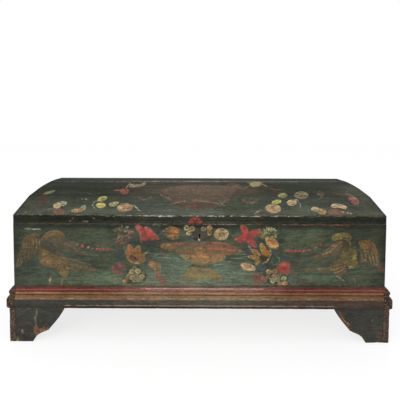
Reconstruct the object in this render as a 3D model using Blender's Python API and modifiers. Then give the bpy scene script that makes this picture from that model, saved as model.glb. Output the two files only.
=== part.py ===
"""Cassapanca: a low painted chest with a coopered, arched lid on ogee bracket feet.

Metres, +Z up. The origin is on the floor, under the middle of the whole piece.
The front faces -Y. The lid turns on two strap hinges along the back, and the bolt of
the lock slides along X through a staple that hangs from the lid.
"""

import math

import bmesh
import bpy
from mathutils import Matrix

# Gaps, and how far a cut runs past what it cuts
CLEARANCE = 0.0003
OVERRUN = 0.002
WELD = 0.00001

# Carcass
BODY_WIDTH = 1.400
BODY_DEPTH = 0.600
BODY_TOP = 0.448
BOARD = 0.022
TAILS = 5
TAIL_SHARE = 0.60
TAIL_SLOPE_SHARE = 1 / 6

# Floor of the chest
BOTTOM_BOARD = 0.018
BOTTOM_BOARDS = 3
BEARER_HEIGHT = 0.020
REAR_RAIL = 0.024

# Base: a lower rail and an upper moulding, let into a rebate round the carcass
REBATE = 0.010
RAIL_HEIGHT = 0.050
RAIL_REACH = 0.020
RAIL_SHOULDER = 0.014
RAIL_ROUND = 0.010
MOULDING_HEIGHT = 0.030
MOULDING_REACH = 0.014
QUIRK_REACH = 0.0112
MOULDING_REACH_SHARES = (0.42, 0.88, 0.98, 1.00, 0.96)
MOULDING_RISE_SHARES = (0.86, 0.56, 0.48, 0.38, 0.22)
SHOULDER_REACH_SHARES = (0.30, 0.62, 0.86)
SHOULDER_DROP_SHARES = (0.14, 0.42, 0.74)

# Feet
FOOT_HEIGHT = 0.130
FOOT_LENGTH = 0.180
FOOT_REACH = 0.0135
FOOT_EDGE = 0.0015
TOE_LENGTH = 0.064
OGEE_NICK_SHARES = (0.483, 0.354)
OGEE_LOBE_SHARES = ((0.035, 0.785), (0.328, 0.538))
OGEE_COVE_SHARES = ((0.638, 0.277), (0.879, 0.262))
REAR_BRACE_LENGTH = 0.110
REAR_BRACE_TOE = 0.050
BLOCK = 0.045
BLOCK_CHAMFER = 0.020

# Lid
LID_EDGE = 0.032
LID_RISE = 0.050
LID_RAIL = 0.028
LID_END = 0.025
STAVE = 0.018
STAVE_REACH_SHARES = (0.43, 0.737)
STAVE_RISE_SHARES = (0.769, 0.952)
STAVE_EDGE = 0.0012
BATTEN = 0.045

# Strap hinges
HINGE_SPREAD = 0.900
IRON = 0.0025
KNUCKLE_RADIUS = 0.0055
PIN_RADIUS = 0.0024
PIN_HEAD_RADIUS = 0.0042
PIN_HEAD = 0.0024
KNUCKLE_GAP = 0.0005
LEAF_WIDTH = 0.042
LEAF_LENGTH = 0.130
STRAP_WIDTH = 0.030
STRAP_LENGTH = 0.330
STRAP_TIP = 0.022
EYE_WIDTH = 0.014

# Nails
NAIL_RADIUS = 0.0042
NAIL_RISE = 0.0020
LEAF_NAILS = 3
STRAP_NAILS = 5
NAIL_MARGIN = 0.016
NAIL_INSET = 0.0062

# Lock
KEYHOLE_DROP = 0.043
KEYHOLE_RADIUS = 0.0045
KEYHOLE_SLOT = 0.0044
KEYHOLE_LENGTH = 0.014
LOCK_WIDTH = 0.124
LOCK_HEIGHT = 0.072
LOCK_TOP_GAP = 0.002
LOCK_CORNER = 0.010
BOLT_HEIGHT = 0.011
BOLT_DEPTH = 0.008
BOLT_THROW = 0.014
BOLT_TO_STAPLE = 0.002
BOLT_GAP = 0.0004
TALON_WIDTH = 0.020
TALON_DROP = 0.014
TALON_NOTCH = 0.0055
GUIDE_WIDTH = 0.006
GUIDE_WALL = 0.0025
GUIDE_SET = 0.004
GUIDE_GAP = 0.001
SPRING = 0.0012
SPRING_FOOT = 0.008
SPRING_RISE = 0.005

# Staple on the lid
STAPLE_SET = 0.040
STAPLE_WIDTH = 0.008
STAPLE_LEG = 0.003
STAPLE_NECK = 0.008
STAPLE_GAP = 0.0008
STAPLE_PLATE_WIDTH = 0.044
STAPLE_PLATE_HEIGHT = 0.017
STAPLE_PLATE_SET = 0.001

# Facets
ROUND_SIDES = 24
NAIL_SIDES = 8
NAIL_RINGS = 4
CURVE_STEPS = 7
ARC_STEPS = 4

# Places that follow from the sizes
HALF_WIDTH = BODY_WIDTH / 2
HINGE_REACH = CLEARANCE + 2 * KNUCKLE_RADIUS
OVERALL_DEPTH = RAIL_REACH + BODY_DEPTH + HINGE_REACH
FRONT = RAIL_REACH - OVERALL_DEPTH / 2
BACK = FRONT + BODY_DEPTH
BASE_TOP = FOOT_HEIGHT + RAIL_HEIGHT + MOULDING_HEIGHT
QUIRK_TOP = FOOT_HEIGHT + RAIL_HEIGHT
BASE_INSIDE = HALF_WIDTH - REBATE
BASE_FRONT = FRONT + REBATE
BOTTOM_UNDER = FOOT_HEIGHT + BEARER_HEIGHT + CLEARANCE
BOARD_FOOT = BOTTOM_UNDER + BOTTOM_BOARD + CLEARANCE
LID_FOOT = BODY_TOP + CLEARANCE
LID_TOP_EDGE = LID_FOOT + LID_EDGE
MIDDLE = (FRONT + BACK) / 2
STRAP_UNDER = LID_FOOT + CLEARANCE
STRAP_TOP = STRAP_UNDER + IRON
HINGE_Y = BACK + CLEARANCE + KNUCKLE_RADIUS
HINGE_Z = STRAP_UNDER + IRON / 2
KEYHOLE_Z = BODY_TOP - KEYHOLE_DROP
LOCK_FACE = FRONT + BOARD + CLEARANCE
LOCK_INSIDE = LOCK_FACE + IRON
LOCK_TOP = BODY_TOP - LOCK_TOP_GAP
STAPLE_FRONT = FRONT + LID_RAIL + CLEARANCE
EYE_FRONT = STAPLE_FRONT + STAPLE_LEG
EYE_BACK = EYE_FRONT + BOLT_DEPTH + 2 * STAPLE_GAP
STAPLE_BACK = EYE_BACK + STAPLE_LEG
EYE_TOP = LID_FOOT - STAPLE_NECK
EYE_FOOT = EYE_TOP - BOLT_HEIGHT - 2 * STAPLE_GAP
STAPLE_FOOT = EYE_FOOT - STAPLE_LEG
BOLT_TOP = EYE_TOP - STAPLE_GAP
BOLT_FOOT = BOLT_TOP - BOLT_HEIGHT
BOLT_FRONT = EYE_FRONT + STAPLE_GAP
BOLT_BACK = BOLT_FRONT + BOLT_DEPTH
BOLT_TIP = STAPLE_SET - STAPLE_WIDTH / 2 - BOLT_TO_STAPLE
NEAR_GUIDE = BOLT_TIP - GUIDE_SET - GUIDE_WIDTH / 2
TALON = NEAR_GUIDE - GUIDE_WIDTH / 2 - BOLT_THROW - GUIDE_GAP - TALON_WIDTH / 2
TAIL_GUIDE = TALON - TALON_WIDTH / 2 - GUIDE_GAP - GUIDE_WIDTH / 2
KEEPER = STAPLE_SET + STAPLE_WIDTH / 2 + BOLT_TO_STAPLE + GUIDE_WIDTH / 2
BOLT_TAIL = TAIL_GUIDE - GUIDE_WIDTH / 2 - BOLT_THROW - BOLT_TO_STAPLE
LOCK_MIDDLE = (BOLT_TAIL + KEEPER + GUIDE_WIDTH / 2) / 2

# Turns that lay a flat outline's thickness along X or along Y
ALONG_X = (math.pi / 2, 0, math.pi / 2)
ALONG_Y = (math.pi / 2, 0, 0)
ALONG_Z = (0, 0, 0)

# Finishes: colour, roughness and metallic value
SLATE_PAINT = ((0.050, 0.062, 0.055), 0.55, 0.0)
GREEN_PAINT = ((0.070, 0.100, 0.080), 0.55, 0.0)
OCHRE_PAINT = ((0.260, 0.120, 0.050), 0.55, 0.0)
BARE_SPRUCE = ((0.360, 0.210, 0.110), 0.75, 0.0)
DARK_IRON = ((0.060, 0.055, 0.050), 0.50, 0.9)

for old_object in list(bpy.data.objects):
    bpy.data.objects.remove(old_object, do_unlink=True)
for old_collection in list(bpy.data.collections):
    bpy.data.collections.remove(old_collection)

PARTS = bpy.data.collections.new("cassapanca")
CUTTERS = bpy.data.collections.new("cutters")
for collection in (PARTS, CUTTERS):
    bpy.context.scene.collection.children.link(collection)


def finish_piece(piece, finish):
    """Give a piece its own material: colour, roughness and metallic value."""
    colour, roughness, metallic = finish
    material = bpy.data.materials.new(piece.name + "_finish")
    material.use_nodes = True
    shader = material.node_tree.nodes["Principled BSDF"]
    shader.inputs["Base Color"].default_value = (*colour, 1)
    shader.inputs["Roughness"].default_value = roughness
    shader.inputs["Metallic"].default_value = metallic
    piece.data.materials.clear()
    piece.data.materials.append(material)


def place(name, mesh, finish):
    """Make an object of a mesh: a sub-part if it has a finish, and otherwise a cutter."""
    thing = bpy.data.objects.new(name, mesh)
    if finish is None:
        CUTTERS.objects.link(thing)
        thing.hide_render = True
        thing.display_type = "WIRE"
    else:
        PARTS.objects.link(thing)
        finish_piece(thing, finish)
    return thing


def block(name, low, high, finish=None):
    """A squared board between two corners, with its origin at its middle."""
    size = [b - a for a, b in zip(low, high)]
    mesh = bpy.data.meshes.new(name)
    shape = bmesh.new()
    bmesh.ops.create_cube(shape, size=1, matrix=Matrix.Diagonal((*size, 1)))
    shape.to_mesh(mesh)
    shape.free()
    thing = place(name, mesh, finish)
    thing.location = [(a + b) / 2 for a, b in zip(low, high)]
    return thing


def prism(name, outlines, turn, centre, thickness, finish=None):
    """Flat outlines as one filled 2D curve, extruded half the thickness each way and welded."""
    curve = bpy.data.curves.new(name + "_outline", "CURVE")
    curve.dimensions = "2D"
    curve.fill_mode = "BOTH"
    curve.extrude = thickness / 2
    for outline in outlines:
        spline = curve.splines.new("POLY")
        spline.points.add(len(outline) - 1)
        for point, (across, along) in zip(spline.points, outline):
            point.co = (across, along, 0, 1)
        spline.use_cyclic_u = True
    guide = bpy.data.objects.new(name + "_outline", curve)
    CUTTERS.objects.link(guide)
    guide.rotation_euler = turn
    guide.location = centre
    bpy.context.view_layer.update()
    evaluated = guide.evaluated_get(bpy.context.evaluated_depsgraph_get())
    mesh = bpy.data.meshes.new_from_object(evaluated)
    mesh.name = name
    shape = bmesh.new()
    shape.from_mesh(mesh)
    bmesh.ops.remove_doubles(shape, verts=shape.verts, dist=WELD)
    bmesh.ops.recalc_face_normals(shape, faces=shape.faces)
    shape.to_mesh(mesh)
    shape.free()
    thing = place(name, mesh, finish)
    thing.matrix_world = guide.matrix_world.copy()
    bpy.data.objects.remove(guide, do_unlink=True)
    return thing


def rod(name, radius, length, centre):
    """A round cutter along X."""
    mesh = bpy.data.meshes.new(name)
    shape = bmesh.new()
    bmesh.ops.create_cone(shape, cap_ends=True, segments=ROUND_SIDES, radius1=radius,
                          radius2=radius, depth=length)
    shape.to_mesh(mesh)
    shape.free()
    thing = place(name, mesh, None)
    thing.rotation_euler = (0, math.pi / 2, 0)
    thing.location = centre
    return thing


def nail_heads(name, places, flat_axis):
    """Low forged nail heads: spheres pressed flat along one axis, their middles in the iron's face."""
    mesh = bpy.data.meshes.new(name)
    shape = bmesh.new()
    press = [NAIL_RISE if axis == flat_axis else NAIL_RADIUS for axis in range(3)]
    for spot in places:
        bmesh.ops.create_uvsphere(shape, u_segments=NAIL_SIDES, v_segments=NAIL_RINGS, radius=1,
                                  matrix=Matrix.Translation(spot) @ Matrix.Diagonal((*press, 1)))
    shape.to_mesh(mesh)
    shape.free()
    return place(name, mesh, None)


def combine(piece, tool, operation):
    """One Boolean on a piece: DIFFERENCE cuts, UNION fuses and INTERSECT trims."""
    step = piece.modifiers.new(operation.lower() + "_" + tool.name, "BOOLEAN")
    step.operation = operation
    step.object = tool


def ease_edges(piece, width, segments=2, angle=math.radians(50)):
    """Round a piece's sharp edges, as years of use do."""
    step = piece.modifiers.new("eased_edges", "BEVEL")
    step.width = width
    step.segments = segments
    step.limit_method = "ANGLE"
    step.angle_limit = angle
    step.miter_outer = "MITER_ARC"


def bezier(start, lead, follow, end, steps):
    """Points along a cubic curve, its end left out."""
    points = []
    for step in range(steps):
        t = step / steps
        weights = ((1 - t) ** 3, 3 * t * (1 - t) ** 2, 3 * t * t * (1 - t), t ** 3)
        points.append(tuple(sum(w * p[axis] for w, p in zip(weights, (start, lead, follow, end)))
                            for axis in range(2)))
    return points


def arc(centre, radius, first, last, steps):
    """Points along an arc, both ends kept; the angles are in radians."""
    return [(centre[0] + radius * math.cos(first + (last - first) * step / steps),
             centre[1] + radius * math.sin(first + (last - first) * step / steps))
            for step in range(steps + 1)]


# Carcass

def tail_heights():
    """Middle height of each dovetail and half its height at its root."""
    pitch = (BODY_TOP - BOARD_FOOT) / TAILS
    return [BOARD_FOOT + (tail + 0.5) * pitch for tail in range(TAILS)], TAIL_SHARE * pitch / 2


def tailed_board(name, low_y, finish):
    """A long board whose two ends are cut into dovetails."""
    middles, half_root = tail_heights()
    root = HALF_WIDTH - BOARD - CLEARANCE
    half_base = half_root - TAIL_SLOPE_SHARE * CLEARANCE
    half_end = half_root + TAIL_SLOPE_SHARE * BOARD
    right = [(root, BOARD_FOOT)]
    for middle in middles:
        right += [(root, middle - half_base), (HALF_WIDTH, middle - half_end),
                  (HALF_WIDTH, middle + half_end), (root, middle + half_base)]
    right.append((root, BODY_TOP))
    left = [(-across, height) for across, height in reversed(right)]
    return prism(name, [right + left], ALONG_Y, (0, low_y + BOARD / 2, 0), BOARD, finish)


def tail_cutter(name, low_y, high_y):
    """The dovetails of both ends of a board, a clearance larger, to cut the end boards."""
    middles, half_root = tail_heights()
    inner, outer = HALF_WIDTH - BOARD - OVERRUN, HALF_WIDTH + OVERRUN
    half_inner = half_root + CLEARANCE - TAIL_SLOPE_SHARE * OVERRUN
    half_outer = half_root + CLEARANCE + TAIL_SLOPE_SHARE * (BOARD + OVERRUN)
    outlines = []
    for side in (-1, 1):
        for middle in middles:
            outlines.append([(side * inner, middle - half_inner), (side * outer, middle - half_outer),
                             (side * outer, middle + half_outer), (side * inner, middle + half_inner)])
    return prism(name, outlines, ALONG_Y, (0, (low_y + high_y) / 2, 0), high_y - low_y)


def keyhole_outline():
    """A round hole with a slot below it."""
    half_slot = KEYHOLE_SLOT / 2
    dip = math.asin(half_slot / KEYHOLE_RADIUS)
    foot = KEYHOLE_Z - KEYHOLE_LENGTH
    return arc((0, KEYHOLE_Z), KEYHOLE_RADIUS, dip - math.pi / 2, 3 * math.pi / 2 - dip,
               4 * ARC_STEPS) + [(-half_slot, foot), (half_slot, foot)]


def make_carcass():
    """Front, back and end boards, dovetailed and rebated outside for the base; and the floor."""
    low, high = BOARD_FOOT - OVERRUN, BASE_TOP + CLEARANCE
    wide = HALF_WIDTH + OVERRUN
    front_rebate = block("front_rebate", (-wide, FRONT - OVERRUN, low), (wide, BASE_FRONT, high))
    left_rebate = block("left_rebate", (-wide, FRONT - OVERRUN, low),
                        (-BASE_INSIDE, BACK + OVERRUN, high))
    right_rebate = block("right_rebate", (BASE_INSIDE, FRONT - OVERRUN, low),
                         (wide, BACK + OVERRUN, high))
    front_tails = tail_cutter("front_tails", FRONT - OVERRUN, FRONT + BOARD + CLEARANCE)
    back_tails = tail_cutter("back_tails", BACK - BOARD - CLEARANCE, BACK + OVERRUN)
    keyhole = prism("keyhole", [keyhole_outline()], ALONG_Y,
                    (0, (FRONT + LOCK_INSIDE) / 2, 0), LOCK_INSIDE - FRONT + 2 * OVERRUN)

    front_board = tailed_board("front_board", FRONT, GREEN_PAINT)
    for cutter in (front_rebate, left_rebate, right_rebate, keyhole):
        combine(front_board, cutter, "DIFFERENCE")
    back_board = tailed_board("back_board", BACK - BOARD, BARE_SPRUCE)
    for cutter in (left_rebate, right_rebate):
        combine(back_board, cutter, "DIFFERENCE")
    for name, side, rebate in (("left", -1, left_rebate), ("right", 1, right_rebate)):
        inner, outer = sorted((side * (HALF_WIDTH - BOARD), side * HALF_WIDTH))
        end_board = block(name + "_end_board", (inner, FRONT, BOARD_FOOT), (outer, BACK, BODY_TOP),
                          SLATE_PAINT)
        for cutter in (front_tails, back_tails, front_rebate, rebate):
            combine(end_board, cutter, "DIFFERENCE")

    pitch = (BACK - BASE_FRONT + CLEARANCE) / BOTTOM_BOARDS
    for number in range(BOTTOM_BOARDS):
        start = BASE_FRONT + number * pitch
        block("bottom_board_%d" % (number + 1), (-BASE_INSIDE, start, BOTTOM_UNDER),
              (BASE_INSIDE, start + pitch - CLEARANCE, BOTTOM_UNDER + BOTTOM_BOARD), BARE_SPRUCE)
    return keyhole


# Base

def moulding_profile():
    """Upper moulding, as reach out from the body and height: a slope, a nose and the quirk."""
    bottom = QUIRK_TOP + CLEARANCE
    tall = BASE_TOP - bottom
    slope = [(share * MOULDING_REACH, bottom + rise * tall)
             for share, rise in zip(MOULDING_REACH_SHARES, MOULDING_RISE_SHARES)]
    return [(0, BASE_TOP)] + slope + [(QUIRK_REACH, bottom)]


def rail_profile():
    """Lower rail: a swelling shoulder under the quirk, a flat face and a rounded foot."""
    swell = RAIL_REACH - QUIRK_REACH
    shoulder = [(QUIRK_REACH + reach * swell, QUIRK_TOP - drop * RAIL_SHOULDER)
                for reach, drop in zip(SHOULDER_REACH_SHARES, SHOULDER_DROP_SHARES)]
    centre = (RAIL_REACH - RAIL_ROUND, FOOT_HEIGHT + RAIL_ROUND)
    foot = [(across, height) for across, height
            in arc(centre, RAIL_ROUND, 0, -math.pi / 3, ARC_STEPS)]
    foot.append((foot[-1][0], FOOT_HEIGHT))
    return [(QUIRK_REACH, QUIRK_TOP)] + shoulder + [(RAIL_REACH, QUIRK_TOP - RAIL_SHOULDER)] + foot


def run_round_base(name, profile, finish):
    """Front piece between two side pieces, whose front ends are trimmed to the same profile."""
    inside = CLEARANCE - REBATE
    top, bottom = profile[0][1], profile[-1][1]
    front_outline = [(FRONT - reach, height) for reach, height in profile]
    front_outline += [(FRONT - inside, bottom), (FRONT - inside, top)]
    prism("front_" + name, [front_outline], ALONG_X, (0, 0, 0), 2 * BASE_INSIDE, finish)
    trim_outline = [(FRONT - reach, height) for reach, height in profile]
    trim_outline += [(BACK, bottom), (BACK, top)]
    wide = 2 * (HALF_WIDTH + RAIL_REACH + OVERRUN)
    trim = prism("trim_" + name, [trim_outline], ALONG_X, (0, 0, 0), wide)
    for side_name, side in (("left_", -1), ("right_", 1)):
        outline = [(side * (HALF_WIDTH + reach), height) for reach, height in profile]
        outline += [(side * (HALF_WIDTH + inside), bottom), (side * (HALF_WIDTH + inside), top)]
        start, end = FRONT - RAIL_REACH - OVERRUN, BACK + OVERRUN
        piece = prism(side_name + name, [outline], ALONG_Y, (0, (start + end) / 2, 0),
                      end - start, finish)
        combine(piece, trim, "INTERSECT")


def make_base():
    """The moulded frame that the carcass stands in, and the plain rail across its back."""
    run_round_base("base_moulding", moulding_profile(), OCHRE_PAINT)
    run_round_base("base_rail", rail_profile(), SLATE_PAINT)
    block("rear_base_rail", (-BASE_INSIDE, BACK - REAR_RAIL, FOOT_HEIGHT),
          (BASE_INSIDE, BACK, FOOT_HEIGHT + BEARER_HEIGHT), BARE_SPRUCE)


# Feet

def bracket_outline(length):
    """A bracket foot from its outer edge: the toe, a cove, a nick and a lobe up to the rail."""
    tall = FOOT_HEIGHT - CLEARANCE
    curve = FOOT_LENGTH - TOE_LENGTH

    def shaped(shares):
        return (length - shares[0] * curve, shares[1] * tall)

    top, toe = (length, tall), (length - curve, 0)
    nick = shaped(OGEE_NICK_SHARES)
    lobe = bezier(top, shaped(OGEE_LOBE_SHARES[0]), shaped(OGEE_LOBE_SHARES[1]), nick, CURVE_STEPS)
    cove = bezier(nick, shaped(OGEE_COVE_SHARES[0]), shaped(OGEE_COVE_SHARES[1]), toe, CURVE_STEPS)
    return [(0, tall)] + lobe + cove + [toe, (0, 0)]


def make_feet():
    """Ogee brackets at the front and sides, plain braces at the back, and a block in each corner."""
    thick = FOOT_REACH + REBATE - CLEARANCE
    side_length = FOOT_LENGTH + thick
    block_tall = FOOT_HEIGHT + BEARER_HEIGHT
    tall = FOOT_HEIGHT - CLEARANCE
    square = [(0, 0), (BLOCK, 0), (BLOCK, BLOCK - BLOCK_CHAMFER), (BLOCK - BLOCK_CHAMFER, BLOCK),
              (0, BLOCK)]
    for name, side in (("left", -1), ("right", 1)):
        front = [(side * (BASE_INSIDE - along), height)
                 for along, height in bracket_outline(FOOT_LENGTH)]
        foot = prism("front_%s_foot" % name, [front], ALONG_Y,
                     (0, FRONT - FOOT_REACH + thick / 2, 0), thick, SLATE_PAINT)
        ease_edges(foot, FOOT_EDGE)
        across = side * (BASE_INSIDE + CLEARANCE + thick / 2)
        for end, start, way in (("front", FRONT - FOOT_REACH, 1), ("rear", BACK, -1)):
            outline = [(start + way * along, height)
                       for along, height in bracket_outline(side_length)]
            bracket = prism("%s_side_%s_foot" % (end, name), [outline], ALONG_X, (across, 0, 0),
                            thick, SLATE_PAINT)
            ease_edges(bracket, FOOT_EDGE)
        brace = [(side * (BASE_INSIDE - along), height) for along, height in
                 ((0, 0), (REAR_BRACE_TOE, 0), (REAR_BRACE_LENGTH, tall), (0, tall))]
        prism("rear_%s_brace" % name, [brace], ALONG_Y, (0, BACK - REAR_RAIL / 2, 0), REAR_RAIL,
              BARE_SPRUCE)
        for end, start, way in (("front", BASE_FRONT, 1),
                                ("rear", BACK - REAR_RAIL - CLEARANCE, -1)):
            corner = [(side * (BASE_INSIDE - a), start + way * b) for a, b in square]
            prism("%s_%s_corner_block" % (end, name), [corner], ALONG_Z, (0, 0, block_tall / 2),
                  block_tall, BARE_SPRUCE)


# Lid

def lid_arch():
    """Break points of the lid's outside, front to back, as Y and Z."""
    half = BODY_DEPTH / 2
    points = [(FRONT, LID_TOP_EDGE)]
    for reach, rise in zip(STAVE_REACH_SHARES, STAVE_RISE_SHARES):
        points.append((FRONT + reach * half, LID_TOP_EDGE + rise * LID_RISE))
    return points + [(2 * MIDDLE - y, z) for y, z in reversed(points)]


def inside_line(start, end, depth):
    """The straight line through two points, moved down square to itself, as slope and height at Y=0."""
    slope = (end[1] - start[1]) / (end[0] - start[0])
    return slope, start[1] - slope * start[0] - depth * math.sqrt(1 + slope * slope)


def lid_underside(depth):
    """Where the faces below the staves meet, at a depth under the lid's outside."""
    arch = lid_arch()
    lines = [inside_line(a, b, depth) for a, b in zip(arch, arch[1:])]
    points = [(FRONT, lines[0][0] * FRONT + lines[0][1])]
    for (slope_a, base_a), (slope_b, base_b) in zip(lines, lines[1:]):
        y = (base_b - base_a) / (slope_a - slope_b)
        points.append((y, slope_a * y + base_a))
    return points + [(BACK, lines[-1][0] * BACK + lines[-1][1])]


def under_lid(start, end, foot):
    """Outline from one Y to another, flat at its foot and following the staves on top."""
    line = lid_underside(STAVE + CLEARANCE)

    def height(y):
        for (y_a, z_a), (y_b, z_b) in zip(line, line[1:]):
            if y <= y_b:
                return z_a + (z_b - z_a) * (y - y_a) / (y_b - y_a)
        return line[-1][1]

    breaks = [(y, z) for y, z in line if start < y < end]
    return [(start, foot), (start, height(start))] + breaks + [(end, height(end)), (end, foot)]


def make_staves():
    """Five staves, planed to each other's angle; the crown stave is slightly round on top."""
    names = ("front", "front_upper", "crown", "rear_upper", "rear")
    outside, inside = lid_arch(), lid_underside(STAVE)
    for number, name in enumerate(names):
        (y_a, z_a), (y_b, z_b) = outside[number], outside[number + 1]
        (v_a, w_a), (v_b, w_b) = inside[number], inside[number + 1]
        gap_a = CLEARANCE / 2 if number > 0 else 0
        gap_b = CLEARANCE / 2 if number < len(names) - 1 else 0
        crown = []
        if name == "crown":
            sagitta = LID_TOP_EDGE + LID_RISE - z_a
            for step in range(1, 2 * ARC_STEPS):
                t = step / (2 * ARC_STEPS)
                crown.append((y_a + (y_b - y_a) * t, z_a + 4 * sagitta * t * (1 - t)))
        outline = [(v_a + gap_a, w_a), (y_a + gap_a, z_a)] + crown
        outline += [(y_b - gap_b, z_b), (v_b - gap_b, w_b)]
        stave = prism("lid_stave_" + name, [outline], ALONG_X, (0, 0, 0), BODY_WIDTH, SLATE_PAINT)
        ease_edges(stave, STAVE_EDGE)


def make_lid_frame():
    """Rails under the front and rear staves, arched end rails, and battens over the straps."""
    notches = []
    for name, side in (("left", -1), ("right", 1)):
        centre = side * HINGE_SPREAD / 2
        half = STRAP_WIDTH / 2 + CLEARANCE
        notches.append(block("strap_notch_" + name,
                             (centre - half, BACK - LID_RAIL - OVERRUN, LID_FOOT - OVERRUN),
                             (centre + half, BACK + OVERRUN, STRAP_TOP + CLEARANCE)))
    prism("lid_front_rail", [under_lid(FRONT, FRONT + LID_RAIL, LID_FOOT)], ALONG_X, (0, 0, 0),
          BODY_WIDTH, SLATE_PAINT)
    rear_rail = prism("lid_rear_rail", [under_lid(BACK - LID_RAIL, BACK, LID_FOOT)], ALONG_X,
                      (0, 0, 0), BODY_WIDTH, SLATE_PAINT)
    for notch in notches:
        combine(rear_rail, notch, "DIFFERENCE")
    start, end = FRONT + LID_RAIL + CLEARANCE, BACK - LID_RAIL - CLEARANCE
    for name, side in (("left", -1), ("right", 1)):
        prism("lid_%s_end" % name, [under_lid(start, end, LID_FOOT)], ALONG_X,
              (side * (HALF_WIDTH - LID_END / 2), 0, 0), LID_END, SLATE_PAINT)
        prism("lid_%s_batten" % name, [under_lid(start, end, STRAP_TOP + CLEARANCE)], ALONG_X,
              (side * HINGE_SPREAD / 2, 0, 0), BATTEN, BARE_SPRUCE)


# Hinges

def make_hinge(name, centre):
    """A body leaf on the back, a long strap under the lid and the pin that joins their knuckles."""
    half_leaf, half_eye = LEAF_WIDTH / 2, EYE_WIDTH / 2
    axis = (centre, HINGE_Y, HINGE_Z)
    bore = rod(name + "_hinge_bore", PIN_RADIUS + CLEARANCE, LEAF_WIDTH + 2 * OVERRUN, axis)

    leaf_foot = HINGE_Z - LEAF_LENGTH
    leaf_outline = [(centre - half_leaf, HINGE_Z), (centre + half_leaf, HINGE_Z),
                    (centre + half_leaf, leaf_foot + half_leaf)]
    leaf_outline += arc((centre, leaf_foot + half_leaf), half_leaf, 0, -math.pi, 2 * ARC_STEPS)[1:]
    leaf = prism(name + "_hinge_body_leaf", [leaf_outline], ALONG_Y,
                 (0, BACK + CLEARANCE + IRON / 2, 0), IRON, DARK_IRON)
    knuckles = rod(name + "_leaf_knuckles", KNUCKLE_RADIUS, LEAF_WIDTH, axis)
    half_slot = half_eye + KNUCKLE_GAP
    slot = block(name + "_leaf_slot",
                 (centre - half_slot, BACK - OVERRUN, HINGE_Z - KNUCKLE_RADIUS - KNUCKLE_GAP),
                 (centre + half_slot, HINGE_Y + KNUCKLE_RADIUS + OVERRUN,
                  HINGE_Z + KNUCKLE_RADIUS + OVERRUN))
    first, last = leaf_foot + NAIL_MARGIN, HINGE_Z - KNUCKLE_RADIUS - NAIL_MARGIN
    step = (last - first) / (LEAF_NAILS - 1)
    leaf_nails = nail_heads(name + "_leaf_nails",
                            [(centre, BACK + CLEARANCE + IRON, first + number * step)
                             for number in range(LEAF_NAILS)], 1)
    combine(leaf, knuckles, "UNION")
    combine(leaf, slot, "DIFFERENCE")
    combine(leaf, bore, "DIFFERENCE")
    combine(leaf, leaf_nails, "UNION")

    half_strap = STRAP_WIDTH / 2
    tip = BACK - STRAP_LENGTH
    strap_outline = [(centre - half_eye, HINGE_Y), (centre - half_eye, BACK),
                     (centre - half_strap, BACK - CLEARANCE), (centre - half_strap, tip + STRAP_TIP),
                     (centre, tip), (centre + half_strap, tip + STRAP_TIP),
                     (centre + half_strap, BACK - CLEARANCE), (centre + half_eye, BACK),
                     (centre + half_eye, HINGE_Y)]
    strap = prism(name + "_hinge_lid_strap", [strap_outline], ALONG_Z, (0, 0, HINGE_Z), IRON,
                  DARK_IRON)
    eye = rod(name + "_strap_eye", KNUCKLE_RADIUS, EYE_WIDTH, axis)
    first, last = tip + STRAP_TIP + NAIL_MARGIN, BACK - LID_RAIL - NAIL_MARGIN
    step = (last - first) / (STRAP_NAILS - 1)
    strap_nails = nail_heads(name + "_strap_nails",
                             [(centre, first + number * step, STRAP_UNDER)
                              for number in range(STRAP_NAILS)], 2)
    combine(strap, eye, "UNION")
    combine(strap, bore, "DIFFERENCE")
    combine(strap, strap_nails, "UNION")

    make_pin(name + "_hinge_pin", axis)


def make_pin(name, axis):
    """A riveted pin: its turned profile, top to bottom, swept round by Screw and laid along X."""
    half = LEAF_WIDTH / 2 + CLEARANCE
    dome = [(0, half + PIN_HEAD), (PIN_HEAD_RADIUS / 2, half + PIN_HEAD),
            (PIN_HEAD_RADIUS, half + PIN_HEAD / 2), (PIN_HEAD_RADIUS, half)]
    profile = dome + [(PIN_RADIUS, half)]
    profile += [(across, -along) for across, along in reversed(profile)]
    mesh = bpy.data.meshes.new(name)
    mesh.from_pydata([(across, 0, along) for across, along in profile],
                     [(number, number + 1) for number in range(len(profile) - 1)], [])
    pin = place(name, mesh, DARK_IRON)
    turn = pin.modifiers.new("turned", "SCREW")
    turn.steps = turn.render_steps = ROUND_SIDES
    turn.use_merge_vertices = True
    turn.merge_threshold = WELD
    pin.rotation_euler = (0, math.pi / 2, 0)
    pin.location = axis


def seat_on_axis(piece):
    """Move a hinged piece's origin to the hinge's axis, leaving its shape where it is."""
    bpy.context.view_layer.update()
    shift = Matrix.Translation((0, HINGE_Y, HINGE_Z))
    piece.data.transform(shift.inverted() @ piece.matrix_world)
    piece.matrix_world = shift


# Lock

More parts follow.
